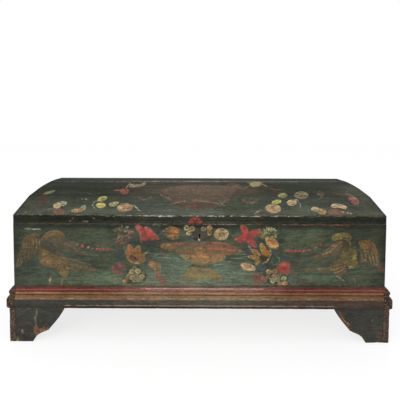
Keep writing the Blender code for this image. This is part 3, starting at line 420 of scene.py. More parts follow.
RIGHT_BIRD = ((
    (None, (112, 100, 58), (122, 110, 66), (331.4, 238, 334, 234.6, 338, 233.2, 345, 232.8, 350, 234.6,
        351.6, 238, 349, 240.4, 343, 239.8, 337, 240.2, 333, 240.6)),
    (None, (76, 68, 50), (70, 62, 48), (342, 240, 350, 240.5, 353, 246, 353, 252, 348, 255, 344, 250,
        342, 245)),
    (None, (88, 78, 58), (92, 80, 60), (342, 240, 334, 243.4, 326, 249.4, 317, 255, 310.4, 258.4,
        316, 260.4, 326, 257.6, 335, 256.4, 342, 252)),
    (None, (86, 78, 60), (92, 82, 62), (338, 266.4, 325, 267.4, 304, 268, 304, 271.4, 320, 271.8,
        338, 272.6)),
    (None, (84, 72, 54), (90, 78, 56), (361, 247, 366, 248, 377, 251.6, 379.4, 262, 379, 267.6, 372, 266.4,
        365, 264.4, 361, 262)),
    (None, (110, 98, 58), (98, 88, 54), (344, 247.5, 350, 248, 356, 251, 358.5, 257, 357.5, 264, 353, 268.4,
        347, 267.4, 341, 266, 338, 262, 340, 256, 342, 251)),
    (None, (98, 80, 56), (92, 78, 54), (334, 262, 341, 261.6, 347, 265.4, 345, 271, 341, 274.6,
        336.4, 272.4, 331, 268.4)),
    (5, (62, 60, 50), (60, 60, 50), (332, 274.4, 318, 274.2, 304, 273.8)),
    (11, (64, 56, 50), (60, 56, 48), (356.5, 241.4, 358, 250, 358.4, 262)),
    (None, (128, 98, 50), (118, 90, 50), (359, 241.5, 364, 240.2, 368.5, 241.5, 369, 246, 366, 249,
        362, 247.5)),
    (None, (118, 88, 56), (104, 78, 52), (367.4, 240.6, 372, 241, 376, 247, 377.6, 254, 374, 255, 370, 250,
        367, 246)),
), (
    ((34, 20), (142, 130, 70), (124, 112, 62), (340, 236.2)), ((12, 22, 10), (100, 98, 66), (333.4, 237.4)),
    (3, (66, 50, 34), (336.6, 240.6, 342, 240.8, 346, 240.4)),
    (8, (66, 66, 58), (74, 70, 54), (345.5, 243, 347.4, 248, 347, 252)),
    (4, (134, 122, 92), (112, 102, 76), (346, 239.2, 349.4, 242, 350.4, 246)),
    (4.5, (124, 108, 80), (96, 90, 68), (341, 240.8, 334, 244.5, 327, 250, 319, 255, 310.5, 258.2)),
    (6, (156, 136, 102), (124, 100, 76), (342, 242, 335, 247.2, 328, 252.5, 321, 255.6)),
    (4, (112, 98, 68), (92, 86, 64), (343, 244.2, 337, 249.5, 331, 253.4, 324, 257, 313.6, 260.3)),
    (5, (106, 76, 54), (98, 80, 58), (343, 246, 338, 250.5, 333.4, 254)),
    (5, (130, 106, 68), (118, 96, 64), (342, 242.2, 338.4, 245, 336, 248.6)),
    (2.5, (68, 50, 38), (78, 62, 48), (341, 243.8, 338, 246, 335.6, 249), (338, 241.8, 334, 244.6,
        330.6, 248)),
    ((13, 12), (152, 98, 86), (140, 92, 78), (333.6, 245.4)),
    (6, (122, 70, 66), (108, 62, 58), (329.6, 253.8, 333, 255.2, 336.4, 255)),
    ((9, 6), (84, 94, 68), (334, 251.6)),
    (4, (92, 84, 62), (84, 82, 64), (337, 256.6, 325, 260.4, 312, 261.6)),
    (4, (86, 82, 62), (80, 80, 62), (334, 260.8, 322, 263.5, 308.6, 264.2)),
    ((32, 19, 70), (124, 120, 66), (112, 106, 58), (353.8, 257)),
    ((17, 12, 60), (146, 140, 80), (354.4, 257.4)),
    ((24, 22, 10), (112, 98, 58), (102, 88, 54), (347, 254.4)),
    (6, (92, 76, 52), (104, 86, 58), (341.4, 251.4, 340.4, 256, 341, 261)),
    ((18, 13), (148, 96, 52), (132, 92, 54), (354, 262.8)),
    (4, (156, 130, 96), (138, 116, 86), (330, 267, 338, 265, 346, 263)),
    (4, (146, 120, 88), (132, 110, 82), (331, 270, 339, 268, 346, 265.6)),
    (4, (152, 128, 98), (134, 112, 86), (334, 273, 340, 271, 345, 268.2)),
    (3.5, (138, 116, 88), (122, 102, 78), (337.6, 275.6, 343, 273, 347, 269.6)),
    (3.5, (142, 120, 72), (130, 108, 66), (340, 263.8, 347, 262, 352, 258.6)),
    (3.5, (122, 106, 76), (108, 98, 72), (334, 268, 322, 268.8, 305, 269)),
    (3, (98, 88, 66), (90, 84, 64), (333, 270.6, 320, 271, 305, 271)),
    (4, (96, 86, 50), (84, 80, 54), (322, 266.8, 317, 267.2, 313, 267.6)),
    (4, (110, 98, 78), (307, 274.6, 304.6, 275.4, 303.4, 276)),
    (3, (146, 124, 88), (120, 102, 72), (326.6, 266.6, 330.4, 268.4, 334.6, 271)),
    (3, (76, 62, 44), (90, 76, 54), (330, 265.8, 333.4, 267.6, 336.6, 270.2)),
    (5, (118, 94, 68), (104, 86, 64), (337.6, 271.4, 340, 275, 342, 277)),
    (4, (108, 98, 78), (92, 84, 66), (343, 271, 346.4, 274, 349, 276.4)),
    (5, (98, 80, 62), (112, 88, 68), (349, 272.4, 352, 276, 354.6, 280, 355.2, 283.4)),
    (6, (128, 114, 80), (112, 98, 70), (364.4, 248, 365.4, 255, 366.4, 262.6)),
    (5, (112, 90, 58), (122, 106, 72), (368, 249.6, 369.6, 256, 370.8, 263)),
    (5, (130, 116, 84), (108, 94, 68), (371.4, 251.6, 373.2, 259, 374.6, 266)),
    (5, (120, 94, 58), (112, 94, 66), (374.6, 251.6, 376.6, 259, 378.4, 266.6)),
    (4, (100, 86, 70), (110, 100, 84), (361.8, 251, 361.8, 257.6, 362.6, 263.4)),
    (2.5, (66, 48, 32), (60, 48, 38), (366.4, 249, 367.2, 255, 368.2, 261), (370.2, 251, 371.4, 257,
        372.6, 263), (374, 252.4, 375, 258, 376.4, 264)),
    ((22, 14, 50), (104, 58, 50), (94, 58, 52), (380.4, 269)),
    (5, (104, 76, 64), (92, 66, 56), (378.2, 261, 380.6, 267, 382.4, 272.8)),
    (4, (112, 82, 68), (98, 72, 60), (381.2, 262, 383.2, 267.6, 384, 272)),
    (4, (96, 66, 58), (88, 58, 52), (306, 249.4, 313, 248.2, 319, 245.8)),
    ((13, 11, 10), (66, 90, 64), (326.4, 244.6)),
), (
    (2.5, (64, 51, 36), (345, 233.6, 348, 236, 350.8, 239)),
    (2.5, (70, 56, 40), (344.4, 236, 347, 238.4, 349.4, 240.6)),
    (2.5, (64, 51, 36), (347.4, 233.2, 349.6, 235, 351.2, 237)),
    (2.5, (146, 132, 98), (345, 235, 348, 237.6, 350.2, 240)), ((9, 4, 20), (92, 60, 46), (328.6, 249.8)),
    ((14, 7, 30), (178, 160, 126), (150, 132, 100), (327.4, 252.6)),
    ((10, 5, 30), (152, 118, 88), (322.4, 255)), ((5, 7), (160, 158, 132), (343.2, 252)),
    (2, (66, 54, 40), (72, 58, 42), (331, 268.6, 339, 266.6, 346, 264.4), (333, 271.6, 340, 269.6,
        345.6, 267), (336, 274.4, 342, 272, 346, 269)),
    ((17, 10, 10), (170, 156, 120), (150, 134, 100), (351, 267.2)),
    ((7, 13, 70), (64, 50, 34), (347.2, 266.6)), ((14, 4), (156, 146, 110), (140, 130, 96), (318.4, 269)),
    ((9, 3), (146, 132, 98), (327, 268.6)),
    (4.5, (136, 138, 108), (98, 92, 78), (336.4, 275.6, 340, 278.4, 343.6, 281, 344.8, 286)),
    (2.5, (132, 110, 88), (116, 92, 70), (352.4, 276, 354.4, 278.6, 356, 281)),
    ((7, 9), (150, 98, 52), (366.5, 257)), ((6, 11, 10), (140, 94, 50), (377, 257.4)),
    ((7, 5), (176, 162, 126), (364.8, 259.8)), ((7, 7), (158, 148, 118), (376.4, 264.8)),
    ((10, 6), (142, 112, 56), (363.6, 244.6)),
    (2, (146, 132, 104), (120, 106, 82), (361, 252, 362.4, 257, 364, 263)),
    (2, (142, 126, 96), (116, 102, 78), (366, 250, 368.6, 256, 371, 262)),
    (2, (138, 124, 98), (114, 102, 80), (372, 246, 375, 254, 377, 264)),
    (3, (138, 124, 88), (122, 108, 80), (359.2, 241.8, 360.6, 246, 363.4, 250.6)),
    (3, (138, 106, 64), (122, 92, 58), (369.6, 240.8, 373.4, 244.4, 376, 249.6)),
))
# Beads: place, length, width and turn, colour
LEFT_BEADS = (((82.4, 245.8), (14, 11, -20), (146, 84, 82)), ((88.2, 247.1), (11, 9, 0), (176, 142, 124)),
              ((92.8, 248.8), (15, 8, -20), (132, 108, 86)))
LEFT_BAR = ((96, 248.9), (104, 249.2), (112.4, 249))
RIGHT_BEADS = (((309.4, 250.1), (16, 8, 4), (134, 104, 92)), ((315.6, 248.2), (13, 9, 45), (150, 130, 108)),
               ((321.2, 245), (11, 13, 0), (132, 78, 74)), ((285.4, 250.4), (12, 17, 0), (120, 98, 78)))
RIGHT_BAR = ((287, 250.8), (296, 251.1), (305, 250.8))

# Soft patches of the ground: place, reach across and up in millimetres, colour, strength. The long thin dark
# rows along the top, at 223.5 and 226, are painted shadow under the lid's overhang
FRONT_WASHES_AND_SHADOW = (
    ((200, 240), (620, 120), (76, 82, 66), 0.8), ((300, 238), (130, 40), (84, 94, 72), 0.6),
    ((90, 236), (120, 40), (76, 86, 68), 0.5), ((120, 280), (210, 34), (92, 102, 82), 0.8),
    ((200, 275), (190, 60), (104, 116, 98), 0.9), ((235, 276), (90, 30), (104, 118, 100), 0.6),
    ((175, 264), (80, 40), (106, 116, 98), 0.6), ((300, 278), (160, 30), (84, 92, 76), 0.6),
    ((22, 276), (60, 30), (70, 76, 64), 0.6), ((13, 240), (60, 200), (48, 50, 43), 0.7),
    ((389, 255), (50, 200), (46, 49, 41), 0.8), ((200, 223.5), (900, 12), (56, 60, 48), 0.5),
    ((200, 226), (900, 13), (38, 43, 36), 0.55), ((360, 234), (110, 50), (56, 58, 48), 0.45),
    ((388, 250), (22, 140), (34, 36, 31), 0.6), ((200, 281), (260, 26), (118, 128, 108), 0.7),
    ((105, 279), (50, 24), (96, 116, 92), 0.6), ((318, 275), (60, 24), (84, 102, 82), 0.5),
    ((60, 276), (120, 26), (70, 88, 70), 0.5), ((50, 233), (150, 46), (50, 56, 46), 0.6),
    ((350, 235), (150, 56), (52, 58, 46), 0.5), ((200, 226), (900, 11), (32, 36, 30), 0.8),
    ((392, 250), (32, 170), (26, 27, 23), 0.85), ((9, 236), (30, 110), (40, 42, 36), 0.5),
    ((140, 244), (110, 90), (52, 60, 54), 0.55), ((266, 247), (120, 100), (54, 62, 54), 0.5),
)

# Small strokes and rubbed spots of the ground
FRONT_TOUCHES = ((
    (7, (84, 106, 78), (76, 96, 70), (97, 246.4, 104, 246.8, 112, 246.4)),
    (9, (64, 80, 56), (72, 88, 62), (80.6, 240.6, 86, 241, 91, 242)),
    (8, (68, 92, 66), (78, 102, 78), (81, 250.6, 87, 252, 92, 254.4, 98, 255)),
    ((72, 46), (64, 59, 54), (58, 56, 50), (201.4, 235.2)), ((26, 16, 30), (78, 66, 62), (203.6, 232.6)),
    ((24, 14, -20), (50, 42, 38), (195.4, 238.6)),
), (
    (3, (112, 78, 56), (98, 70, 54), (92, 244.8, 100, 244.2, 111, 244.6)),
    ((34, 8, -6), (128, 136, 118), (108, 116, 98), (29, 228.8)),
    ((40, 6, -2), (132, 140, 120), (116, 124, 104), (36, 229.4)), ((24, 3), (158, 164, 144), (37.4, 229)),
    ((40, 30), (74, 66, 64), (203.4, 234.8)),
), (
    ((7.5, 8), (200, 194, 182), (184, 178, 166), (199.3, 239.7)),
))
# Broken strokes: start, end, count, length and width, colours, seed. The dark runs along 286, where the front
# meets the moulding, are partly painted shade in that crease and partly dirt
FRONT_SEAMS_AND_SHADE = (
    ((16, 224), (230, 224.6), 50, 44, 3, ((66, 68, 58), (78, 78, 66), (58, 54, 46)), 3),
    ((226, 224.6), (352, 225.2), 34, 44, 3.2, ((92, 72, 54), (104, 92, 76), (78, 56, 42)), 11),
    ((130, 223.4), (262, 223.8), 60, 50, 4, ((148, 142, 130), (176, 170, 158), (120, 112, 100)), 4),
    ((176, 223.4), (240, 223.6), 26, 40, 4.5, ((206, 196, 184), (184, 160, 152)), 5),
    ((282, 224.2), (350, 225), 30, 40, 3.6, ((150, 84, 60), (134, 72, 52), (164, 102, 78)), 6),
    ((14, 286), (150, 286), 46, 60, 5, ((38, 32, 27), (46, 38, 32), (54, 40, 34)), 7),
    ((140, 286), (250, 286), 60, 60, 5, ((150, 134, 116), (130, 114, 98), (108, 92, 78)), 8),
    ((240, 286), (386, 286), 50, 60, 5, ((46, 38, 32), (62, 46, 40), (72, 50, 44)), 9),
    ((120, 284.4), (300, 284.4), 24, 50, 3, ((120, 112, 96), (104, 96, 82)), 10),
)

# Berries: place, width and height in millimetres, colour
BERRIES = (
    ((132, 271.4), (20, 19), (160, 146, 116)), ((137.9, 271.2), (22, 20), (170, 154, 120)),
    ((129, 274.4), (13, 12), (140, 128, 98)), ((136, 276), (20, 20), (150, 132, 100)),
    ((141.8, 276.6), (20, 18), (156, 146, 118)), ((131.8, 277.4), (19, 17), (166, 136, 110)),
    ((138.8, 280.2), (17, 15), (132, 128, 98)), ((134.6, 280.2), (16, 14), (140, 126, 94)),
    ((124.3, 281.4), (15, 15), (166, 144, 112)), ((127, 277), (14, 12), (128, 130, 92)),
    ((134.6, 267.6), (15, 12), (130, 122, 96)), ((143.4, 272.6), (10, 9), (118, 112, 84)),
    ((268.8, 271.7), (21, 20), (172, 150, 118)), ((274.8, 271.3), (20, 19), (138, 128, 96)),
    ((267.8, 276.8), (15, 13), (142, 124, 104)), ((274, 276.4), (20, 17), (158, 132, 108)),
    ((279.6, 275), (17, 14), (156, 124, 104)), ((270.6, 279), (9, 8), (158, 154, 124)),
    ((272.8, 280.9), (19, 18), (172, 176, 138)), ((277.9, 279.4), (18, 17), (160, 148, 116)),
    ((283.7, 278.4), (20, 16), (160, 168, 138)), ((280.1, 283.5), (19, 14), (166, 146, 114)),
    ((285.1, 283.1), (20, 18), (176, 156, 124)),
    ((186.6, 228), (20, 19), (170, 154, 118)), ((192.3, 228.8), (19, 18), (156, 134, 94)),
    ((189, 232.8), (22, 16), (164, 148, 108)), ((203.6, 229), (18, 17), (142, 136, 108)),
    ((209.6, 228), (20, 18), (160, 140, 104)), ((209.4, 232.6), (16, 23), (150, 128, 88)),
)
# Frilled clusters: middle and half widths in photograph pixels, how many dabs, colours, seed
FRILLS = (
    ((120.4, 230.2), (6.6, 4.6), 46, ((160, 148, 112), (132, 118, 84), (62, 50, 28), (96, 84, 56)), 12),
    ((267.8, 233.2), (9.6, 6.2), 110, ((160, 158, 112), (128, 120, 62), (70, 62, 28), (172, 174, 132),
                                      (104, 100, 56)), 13),
    ((260.4, 233), (3, 4), 22, ((156, 116, 92), (96, 56, 44), (140, 128, 98)), 14),
    ((130.2, 233.8), (2.8, 4.2), 26, ((154, 106, 98), (112, 58, 56), (140, 124, 100), (132, 80, 76)), 15),
    ((126.6, 228.6), (2.4, 2.6), 8, ((140, 128, 98), (118, 110, 86)), 16),
)
LEFT_GARLAND = ((
    ((26, 18), (44, 56, 60), (133, 241.4)), ((44, 10), (56, 64, 62), (149, 242)),
    ((28, 16), (60, 62, 66), (119, 254.4)), ((36, 12), (56, 72, 64), (118.6, 257.6)),
    ((16, 28), (66, 70, 68), (152.4, 250)), ((17, 14), (88, 96, 94), (153.8, 257)),
    ((15, 17), (70, 58, 60), (159, 231)),
    (9, (50, 74, 52), (44, 64, 50), (150.4, 227.4, 153.6, 229.6, 157.6, 233.4)),
    ((14, 10), (48, 84, 66), (159, 225.6)), ((14, 9), (54, 70, 62), (113, 225.4)),
    ((46, 42), (94, 78, 68), (84, 70, 64), (121.6, 240.8)),
    (None, (126, 68, 56), (160, 92, 86), (135.6, 225.6, 138, 224.6, 141, 226.2, 143.6, 229, 145, 232,
        144.6, 235, 146.6, 239.6, 145, 241.2, 141.6, 241.2, 140.4, 237, 139.2, 233, 136.8, 230.4,
        135.4, 228)),
    (None, (162, 64, 60), (164, 92, 86), (144.6, 227.4, 147, 226.6, 151, 229.4, 155, 233.4, 159, 238.4,
        155, 240.2, 151, 239.4, 148.6, 237.4, 147, 233.4, 145, 230.4)),
    (None, (140, 62, 56), (150, 72, 66), (142.6, 228.6, 145, 230.4, 148, 234.6, 149.4, 238.6, 146, 240.8,
        142.6, 240, 141, 235)),
    (None, (136, 126, 88), (120, 112, 82), (123.4, 246.8, 125.8, 246.8, 127.2, 250, 127.6, 254.2,
        125.4, 253.8, 124.4, 250.4)),
    (None, (160, 102, 56), (150, 106, 76), (127.4, 253.4, 127, 248, 128.4, 244.2, 130.8, 245.2, 132.8, 248,
        134.2, 251, 134.6, 253.8, 131, 254.4)),
    (None, (152, 96, 54), (136, 110, 76), (134, 253.4, 134.6, 248.6, 137, 246.4, 139.6, 245.4, 140.8, 247.4,
        141.2, 251, 142.4, 255.4, 138, 255.8)),
    (None, (126, 94, 64), (144, 100, 60), (126.4, 254.4, 131, 254, 138, 255.2, 141, 254.4, 144.4, 255,
        144.8, 259, 143.4, 262.8, 136, 264.2, 131, 262.6, 128, 259.6)),
    ((56, 44), (100, 82, 76), (92, 80, 74), (119.2, 268)), ((40, 12), (102, 104, 72), (133, 282.4)),
    (None, (128, 104, 76), (140, 108, 76), (148.4, 262.6, 152, 260.4, 156, 262, 158.4, 263.4, 160.8, 265.6,
        160.6, 268, 158, 270, 155, 269.6, 151, 267.6, 148.4, 265)),
    (None, (124, 88, 76), (132, 96, 84), (154.6, 270.8, 157, 271.4, 160.6, 273.2, 160.6, 276.6, 166, 278.6,
        166.8, 283, 163, 286.4, 160, 282.4, 156.6, 278, 154.4, 275)),
), (
    ((13, 7), (118, 82, 82), (154, 225)), ((13, 8), (142, 150, 132), (164.8, 224)),
    ((20, 10), (84, 70, 66), (123.4, 236)),
    (6, (146, 134, 116), (112, 96, 88), (119.8, 236.2, 117, 239, 115.8, 243)),
    (5, (116, 94, 92), (88, 72, 68), (115.6, 243.4, 117, 246.6, 121, 247.4)),
    ((15, 11), (122, 92, 52), (104, 78, 48), (119, 240.4)),
    ((16, 14), (108, 78, 60), (96, 72, 58), (126, 240.6)),
    ((20, 7, 10), (136, 120, 96), (112, 98, 80), (122.4, 243)),
    ((12, 5, 60), (122, 104, 88), (125.6, 236.4)), ((12, 5), (128, 110, 90), (122.2, 236.8)),
    ((24, 15, -30), (170, 52, 54), (152, 58, 56), (141.4, 229.5)),
    ((26, 17, -48), (186, 66, 64), (158, 60, 56), (150.8, 234.6)), ((12, 14), (104, 48, 36), (145, 232.6)),
    ((20, 12, -30), (146, 56, 54), (154.4, 237.4)),
    ((18, 14), (166, 74, 84), (146, 66, 68), (143.4, 238.6)),
    (5, (150, 104, 84), (116, 84, 64), (139.8, 232, 140.8, 236, 140.6, 240, 141.8, 243.6)),
    (5, (134, 84, 62), (118, 76, 60), (147.4, 234.6, 149.4, 237.4, 151.8, 239.4)),
    ((17, 22, 80), (150, 98, 56), (138, 92, 56), (142.2, 258.8)), ((13, 14), (116, 98, 78), (138.2, 258.4)),
    (None, (76, 58, 44), (128.8, 256.4, 131.6, 254.8, 135.6, 256.6, 138, 259.4, 136, 261.2, 131.6, 260.4)),
    (5.5, (150, 112, 84), (150, 134, 104), (126.8, 256.4, 129, 260, 132.6, 262.6, 136.6, 263.6,
        140.4, 262.4)),
    (3.5, (160, 118, 86), (150, 106, 70), (128.8, 254.4, 132, 253.8, 134.6, 255.2, 139, 256)),
    (3.5, (112, 66, 42), (130, 80, 50), (130.2, 246.4, 131, 249.6, 131.6, 252.8), (137.2, 248, 138.2, 251,
        138.8, 254.4)),
    (4, (152, 130, 94), (140, 112, 78), (134.6, 249.4, 136.6, 246.8, 139.6, 245.8)),
    (4, (172, 118, 76), (150, 100, 60), (128.2, 246, 128.6, 249, 129.4, 252.4)),
    (6, (120, 110, 78), (136, 128, 96), (143, 254.6, 146, 252.8, 148.4, 251.4)),
    (9, (150, 94, 82), (136, 88, 74), (113, 266.4, 112.6, 270, 115, 272.4)),
    (7, (122, 78, 76), (118, 74, 72), (113.6, 264.6, 118.4, 262.8, 123.4, 264)),
    (7, (142, 78, 74), (118, 78, 74), (117.4, 273, 120.6, 273.2, 124, 272)),
    ((28, 18), (128, 62, 62), (118, 62, 60), (118.6, 268)), ((20, 12), (144, 84, 90), (120, 265.4)),
    ((12, 9), (134, 98, 84), (116.4, 271.4)), ((7, 14), (80, 58, 36), (130, 277.6)),
    ((8, 8), (62, 54, 34), (135.2, 272.8)), ((16, 8, 30), (92, 76, 48), (138.6, 276.6)),
    ((12, 11), (134, 92, 50), (126.8, 280)), ((24, 20), (166, 114, 70), (146, 104, 68), (153.4, 263.6)),
    ((18, 8, -35), (194, 154, 118), (168, 132, 98), (151.4, 265.8)),
    ((16, 10), (118, 94, 56), (158, 269.4)), ((14, 7, -30), (152, 132, 100), (154.8, 268.6)),
    ((10, 5, 50), (116, 84, 56), (156.6, 263.6)),
    (10, (162, 112, 98), (146, 88, 80), (156, 271.6, 158.4, 274.6, 159.4, 279.4)),
    (9, (122, 96, 80), (116, 90, 76), (161.6, 277.4, 163.6, 281, 164, 285.4)),
    (6, (128, 112, 94), (110, 100, 84), (161.6, 275, 164.6, 276.6, 167.4, 279.6)),
), (
    ((16, 5, 20), (136, 118, 84), (121.6, 239.4)), ((15, 8, -35), (168, 88, 96), (157.4, 238.4)),
    ((14, 6, -40), (180, 116, 108), (146.8, 228.4)), ((12, 8, -50), (172, 110, 104), (138.2, 227.2)),
    ((7, 8), (38, 34, 34), (134.8, 257.6)), ((16, 6), (160, 150, 122), (136.2, 262.8)),
    ((12, 7, 20), (146, 138, 106), (146.4, 252.4)), ((13, 7), (106, 48, 46), (119.2, 268.8)),
    ((8, 16), (150, 134, 106), (160.2, 265.6)),
))
TOP_FLOWERS = ((
    (None, (64, 60, 40), (127, 267.4, 136, 265.8, 144, 271, 147, 277, 141, 283.4, 126, 284, 121.6, 281,
        126.4, 274)),
    (None, (70, 66, 42), (264, 269, 278, 268.4, 286, 274.6, 289.4, 283.6, 279, 286.4, 268, 283, 264, 277)),
    ((54, 48), (104, 84, 62), (112, 88, 62), (172.6, 233)),
    ((36, 34), (158, 104, 58), (142, 94, 56), (174.2, 231.6)),
    ((56, 45), (150, 138, 100), (160, 146, 112), (221.4, 234.2)), ((16, 20), (46, 62, 46), (229.6, 237)),
    ((20, 22), (46, 60, 52), (233.8, 231.6)), ((18, 14), (56, 66, 70), (190.4, 237.6)),
    ((20, 14), (74, 88, 76), (183, 234.6)), ((16, 10), (52, 70, 58), (209.4, 239.4)),
), (
    ((22, 15, 20), (172, 118, 66), (150, 104, 62), (172.8, 231)),
    ((13, 8, 20), (150, 128, 106), (168.8, 236.2)), ((13, 9, 60), (152, 118, 80), (172.2, 235.6)),
    ((12, 8, 80), (140, 116, 78), (173.6, 238)), ((12, 8, -60), (132, 102, 66), (177.4, 236)),
    ((12, 5, 10), (132, 126, 100), (163.6, 231)), ((18, 6), (136, 124, 94), (170.8, 226.8)),
    ((10, 5, 60), (122, 104, 76), (166.6, 228.4)), ((10, 6, -30), (128, 100, 70), (178.8, 229)),
    ((12, 6), (112, 92, 66), (165.4, 234)), ((8, 9), (160, 108, 44), (189.4, 230.5)),
    ((34, 26), (120, 86, 50), (128, 94, 54), (221.2, 233.6)),
), (
    ((13, 11), (222, 156, 106), (190, 130, 86), (176.5, 231.3)), ((6, 7), (64, 44, 20), (191.4, 232.4)),
))
URN = ((
    (None, (122, 93, 67), (116, 86, 66), (160.4, 244.6, 168, 242.8, 180, 242.4, 203, 242.4, 224, 242.4,
        234, 246, 241.4, 250.2, 233, 254.6, 224, 255.4, 203, 254.6, 190, 253.8, 176, 252.4, 168, 249.8,
        161.4, 248)),
    (None, (138, 112, 76), (154, 118, 80), (180.6, 255.2, 192, 254.6, 208, 255, 224.4, 255.2, 223.4, 259.4,
        217, 262.6, 208, 264.4, 196, 263.8, 188, 260.4)),
    (None, (90, 86, 58), (84, 80, 54), (191.6, 264, 203, 264.6, 213, 264.4, 209, 268, 199, 267.6,
        193, 267)),
    (None, (142, 124, 80), (132, 114, 78), (190, 267.6, 196, 267.2, 203, 269, 210, 268.4, 216, 272,
        220.4, 276, 222.6, 279, 208, 280, 196, 279.2, 184, 278, 184.6, 274.4, 187.6, 270)),
), (
    ((34, 18), (134, 108, 76), (118, 92, 64), (166, 245.6)),
    ((16, 9), (152, 124, 88), (130, 104, 74), (168.6, 244.8)),
    (7, (122, 86, 56), (130, 94, 60), (168, 248, 172, 248, 177, 247.2)),
    (8, (144, 100, 88), (136, 92, 80), (175, 243.6, 180, 243.4, 185, 243.8)),
    (8, (104, 62, 54), (112, 72, 62), (183.6, 243.8, 188, 243.8, 192, 243.8)),
    (12, (96, 96, 68), (104, 98, 68), (176, 248, 184, 248.2, 192, 247.6)),
    (7, (98, 88, 72), (88, 84, 70), (162, 247.4, 168, 249.6, 177, 252.4)),
    (8, (116, 90, 64), (128, 104, 68), (176, 251.8, 186, 252.2, 195, 252)),
    ((42, 26), (150, 118, 72), (140, 104, 64), (199.6, 249.6)),
    ((26, 13), (112, 84, 78), (124, 98, 90), (204, 243.6)), ((7, 10), (96, 58, 48), (211, 244)),
    (8, (168, 114, 96), (150, 96, 80), (211.6, 242.8, 218, 242.8, 224.6, 243.2)),
    (8, (164, 88, 80), (148, 80, 74), (223, 244, 228, 244.8, 232.6, 246.6)),
    (7, (104, 88, 64), (92, 84, 60), (232, 246.4, 236.4, 247.6, 240.4, 249)),
    (8, (146, 96, 66), (134, 88, 64), (206, 246, 216, 245.8, 228, 247)),
    (10, (170, 98, 76), (158, 98, 76), (207, 249, 217, 248.6, 228, 249)),
    (8, (154, 104, 76), (160, 108, 92), (224, 250.4, 232, 250.6, 241, 251)),
    (8, (116, 100, 64), (124, 98, 62), (207, 252.2, 216, 252.4, 228, 252.6)),
    (7, (150, 104, 86), (138, 100, 66), (207, 254.8, 216, 254.8, 232, 254)),
    ((14, 9), (82, 112, 76), (238.6, 252.6)),
    (7, (160, 118, 86), (150, 108, 76), (194, 254.2, 200, 253.8, 207, 254)),
    (10, (182, 134, 88), (166, 120, 82), (192, 256.8, 200, 256.8, 208, 256.6)),
    (8, (162, 122, 88), (154, 114, 78), (207, 256.6, 215, 256.6, 224, 256.8)),
    (8, (134, 116, 74), (142, 118, 74), (181.6, 256.8, 186, 257.2, 192, 257)),
    (8, (154, 106, 58), (148, 102, 56), (195, 259, 203, 259.2, 214, 259.6)),
    (5, (124, 110, 80), (136, 120, 88), (190, 261.2, 198, 262, 209, 262.2)),
    (4, (154, 138, 104), (118, 108, 78), (181, 256, 187, 260.2, 193, 262.6, 201, 263.6)),
    (6, (78, 74, 46), (88, 82, 54), (192.4, 266, 199, 266.6, 206, 266.4)),
    (5, (108, 100, 72), (96, 94, 70), (197, 264.8, 204, 265.2, 212, 265)),
    ((20, 10), (74, 86, 70), (211, 266.8)), ((18, 16), (144, 118, 66), (132, 108, 66), (189.8, 272)),
    (8, (152, 132, 84), (142, 122, 78), (187, 275.4, 194, 275.2, 201, 274.8)),
    (8, (128, 120, 72), (116, 106, 66), (187, 278, 196, 278.2, 212, 278.6)),
    ((14, 13), (112, 88, 68), (124, 98, 72), (199.6, 270.6)),
    ((16, 12), (142, 122, 82), (130, 110, 76), (210.6, 273.4)),
    ((22, 12, -20), (154, 114, 70), (134, 102, 68), (213.6, 275.8)),
    ((15, 8, -20), (142, 110, 92), (120, 94, 78), (219.4, 277.6)),
    (5, (106, 76, 50), (118, 88, 58), (211, 279.4, 216, 279, 221, 279.4)),
    (4, (92, 78, 62), (112, 94, 70), (183, 278.4, 185.2, 276.6, 188, 277.6)),
    (5, (102, 90, 72), (88, 84, 66), (160.6, 250.4, 164, 253, 168.4, 252.6, 171, 250.4)),
    (5, (112, 86, 74), (98, 78, 66), (160, 254, 163, 254.8, 166.4, 254.2)),
    (3.5, (128, 140, 120), (110, 122, 104), (213.8, 266.8, 216, 264.8, 221.6, 264)),
    (3.5, (118, 130, 110), (104, 116, 100), (217, 268.4, 222, 267, 229, 267)),
    (3.5, (120, 130, 112), (104, 114, 100), (227, 262, 232, 261.2, 238, 263.2)),
), (
    ((4, 12), (112, 112, 84), (184.2, 247.4)), ((8, 5), (170, 136, 84), (200.6, 248.4)),
    (3, (136, 112, 104), (118, 94, 88), (200.4, 244, 204, 241.9, 208, 244)),
    (4, (78, 52, 38), (92, 66, 46), (199.6, 268.8, 201.4, 271, 203.4, 274)),
    (3, (84, 58, 42), (92, 66, 46), (204.4, 270.4, 203, 272, 201.8, 273.6)),
    ((10, 5, 40), (144, 120, 92), (205.6, 270)),
))
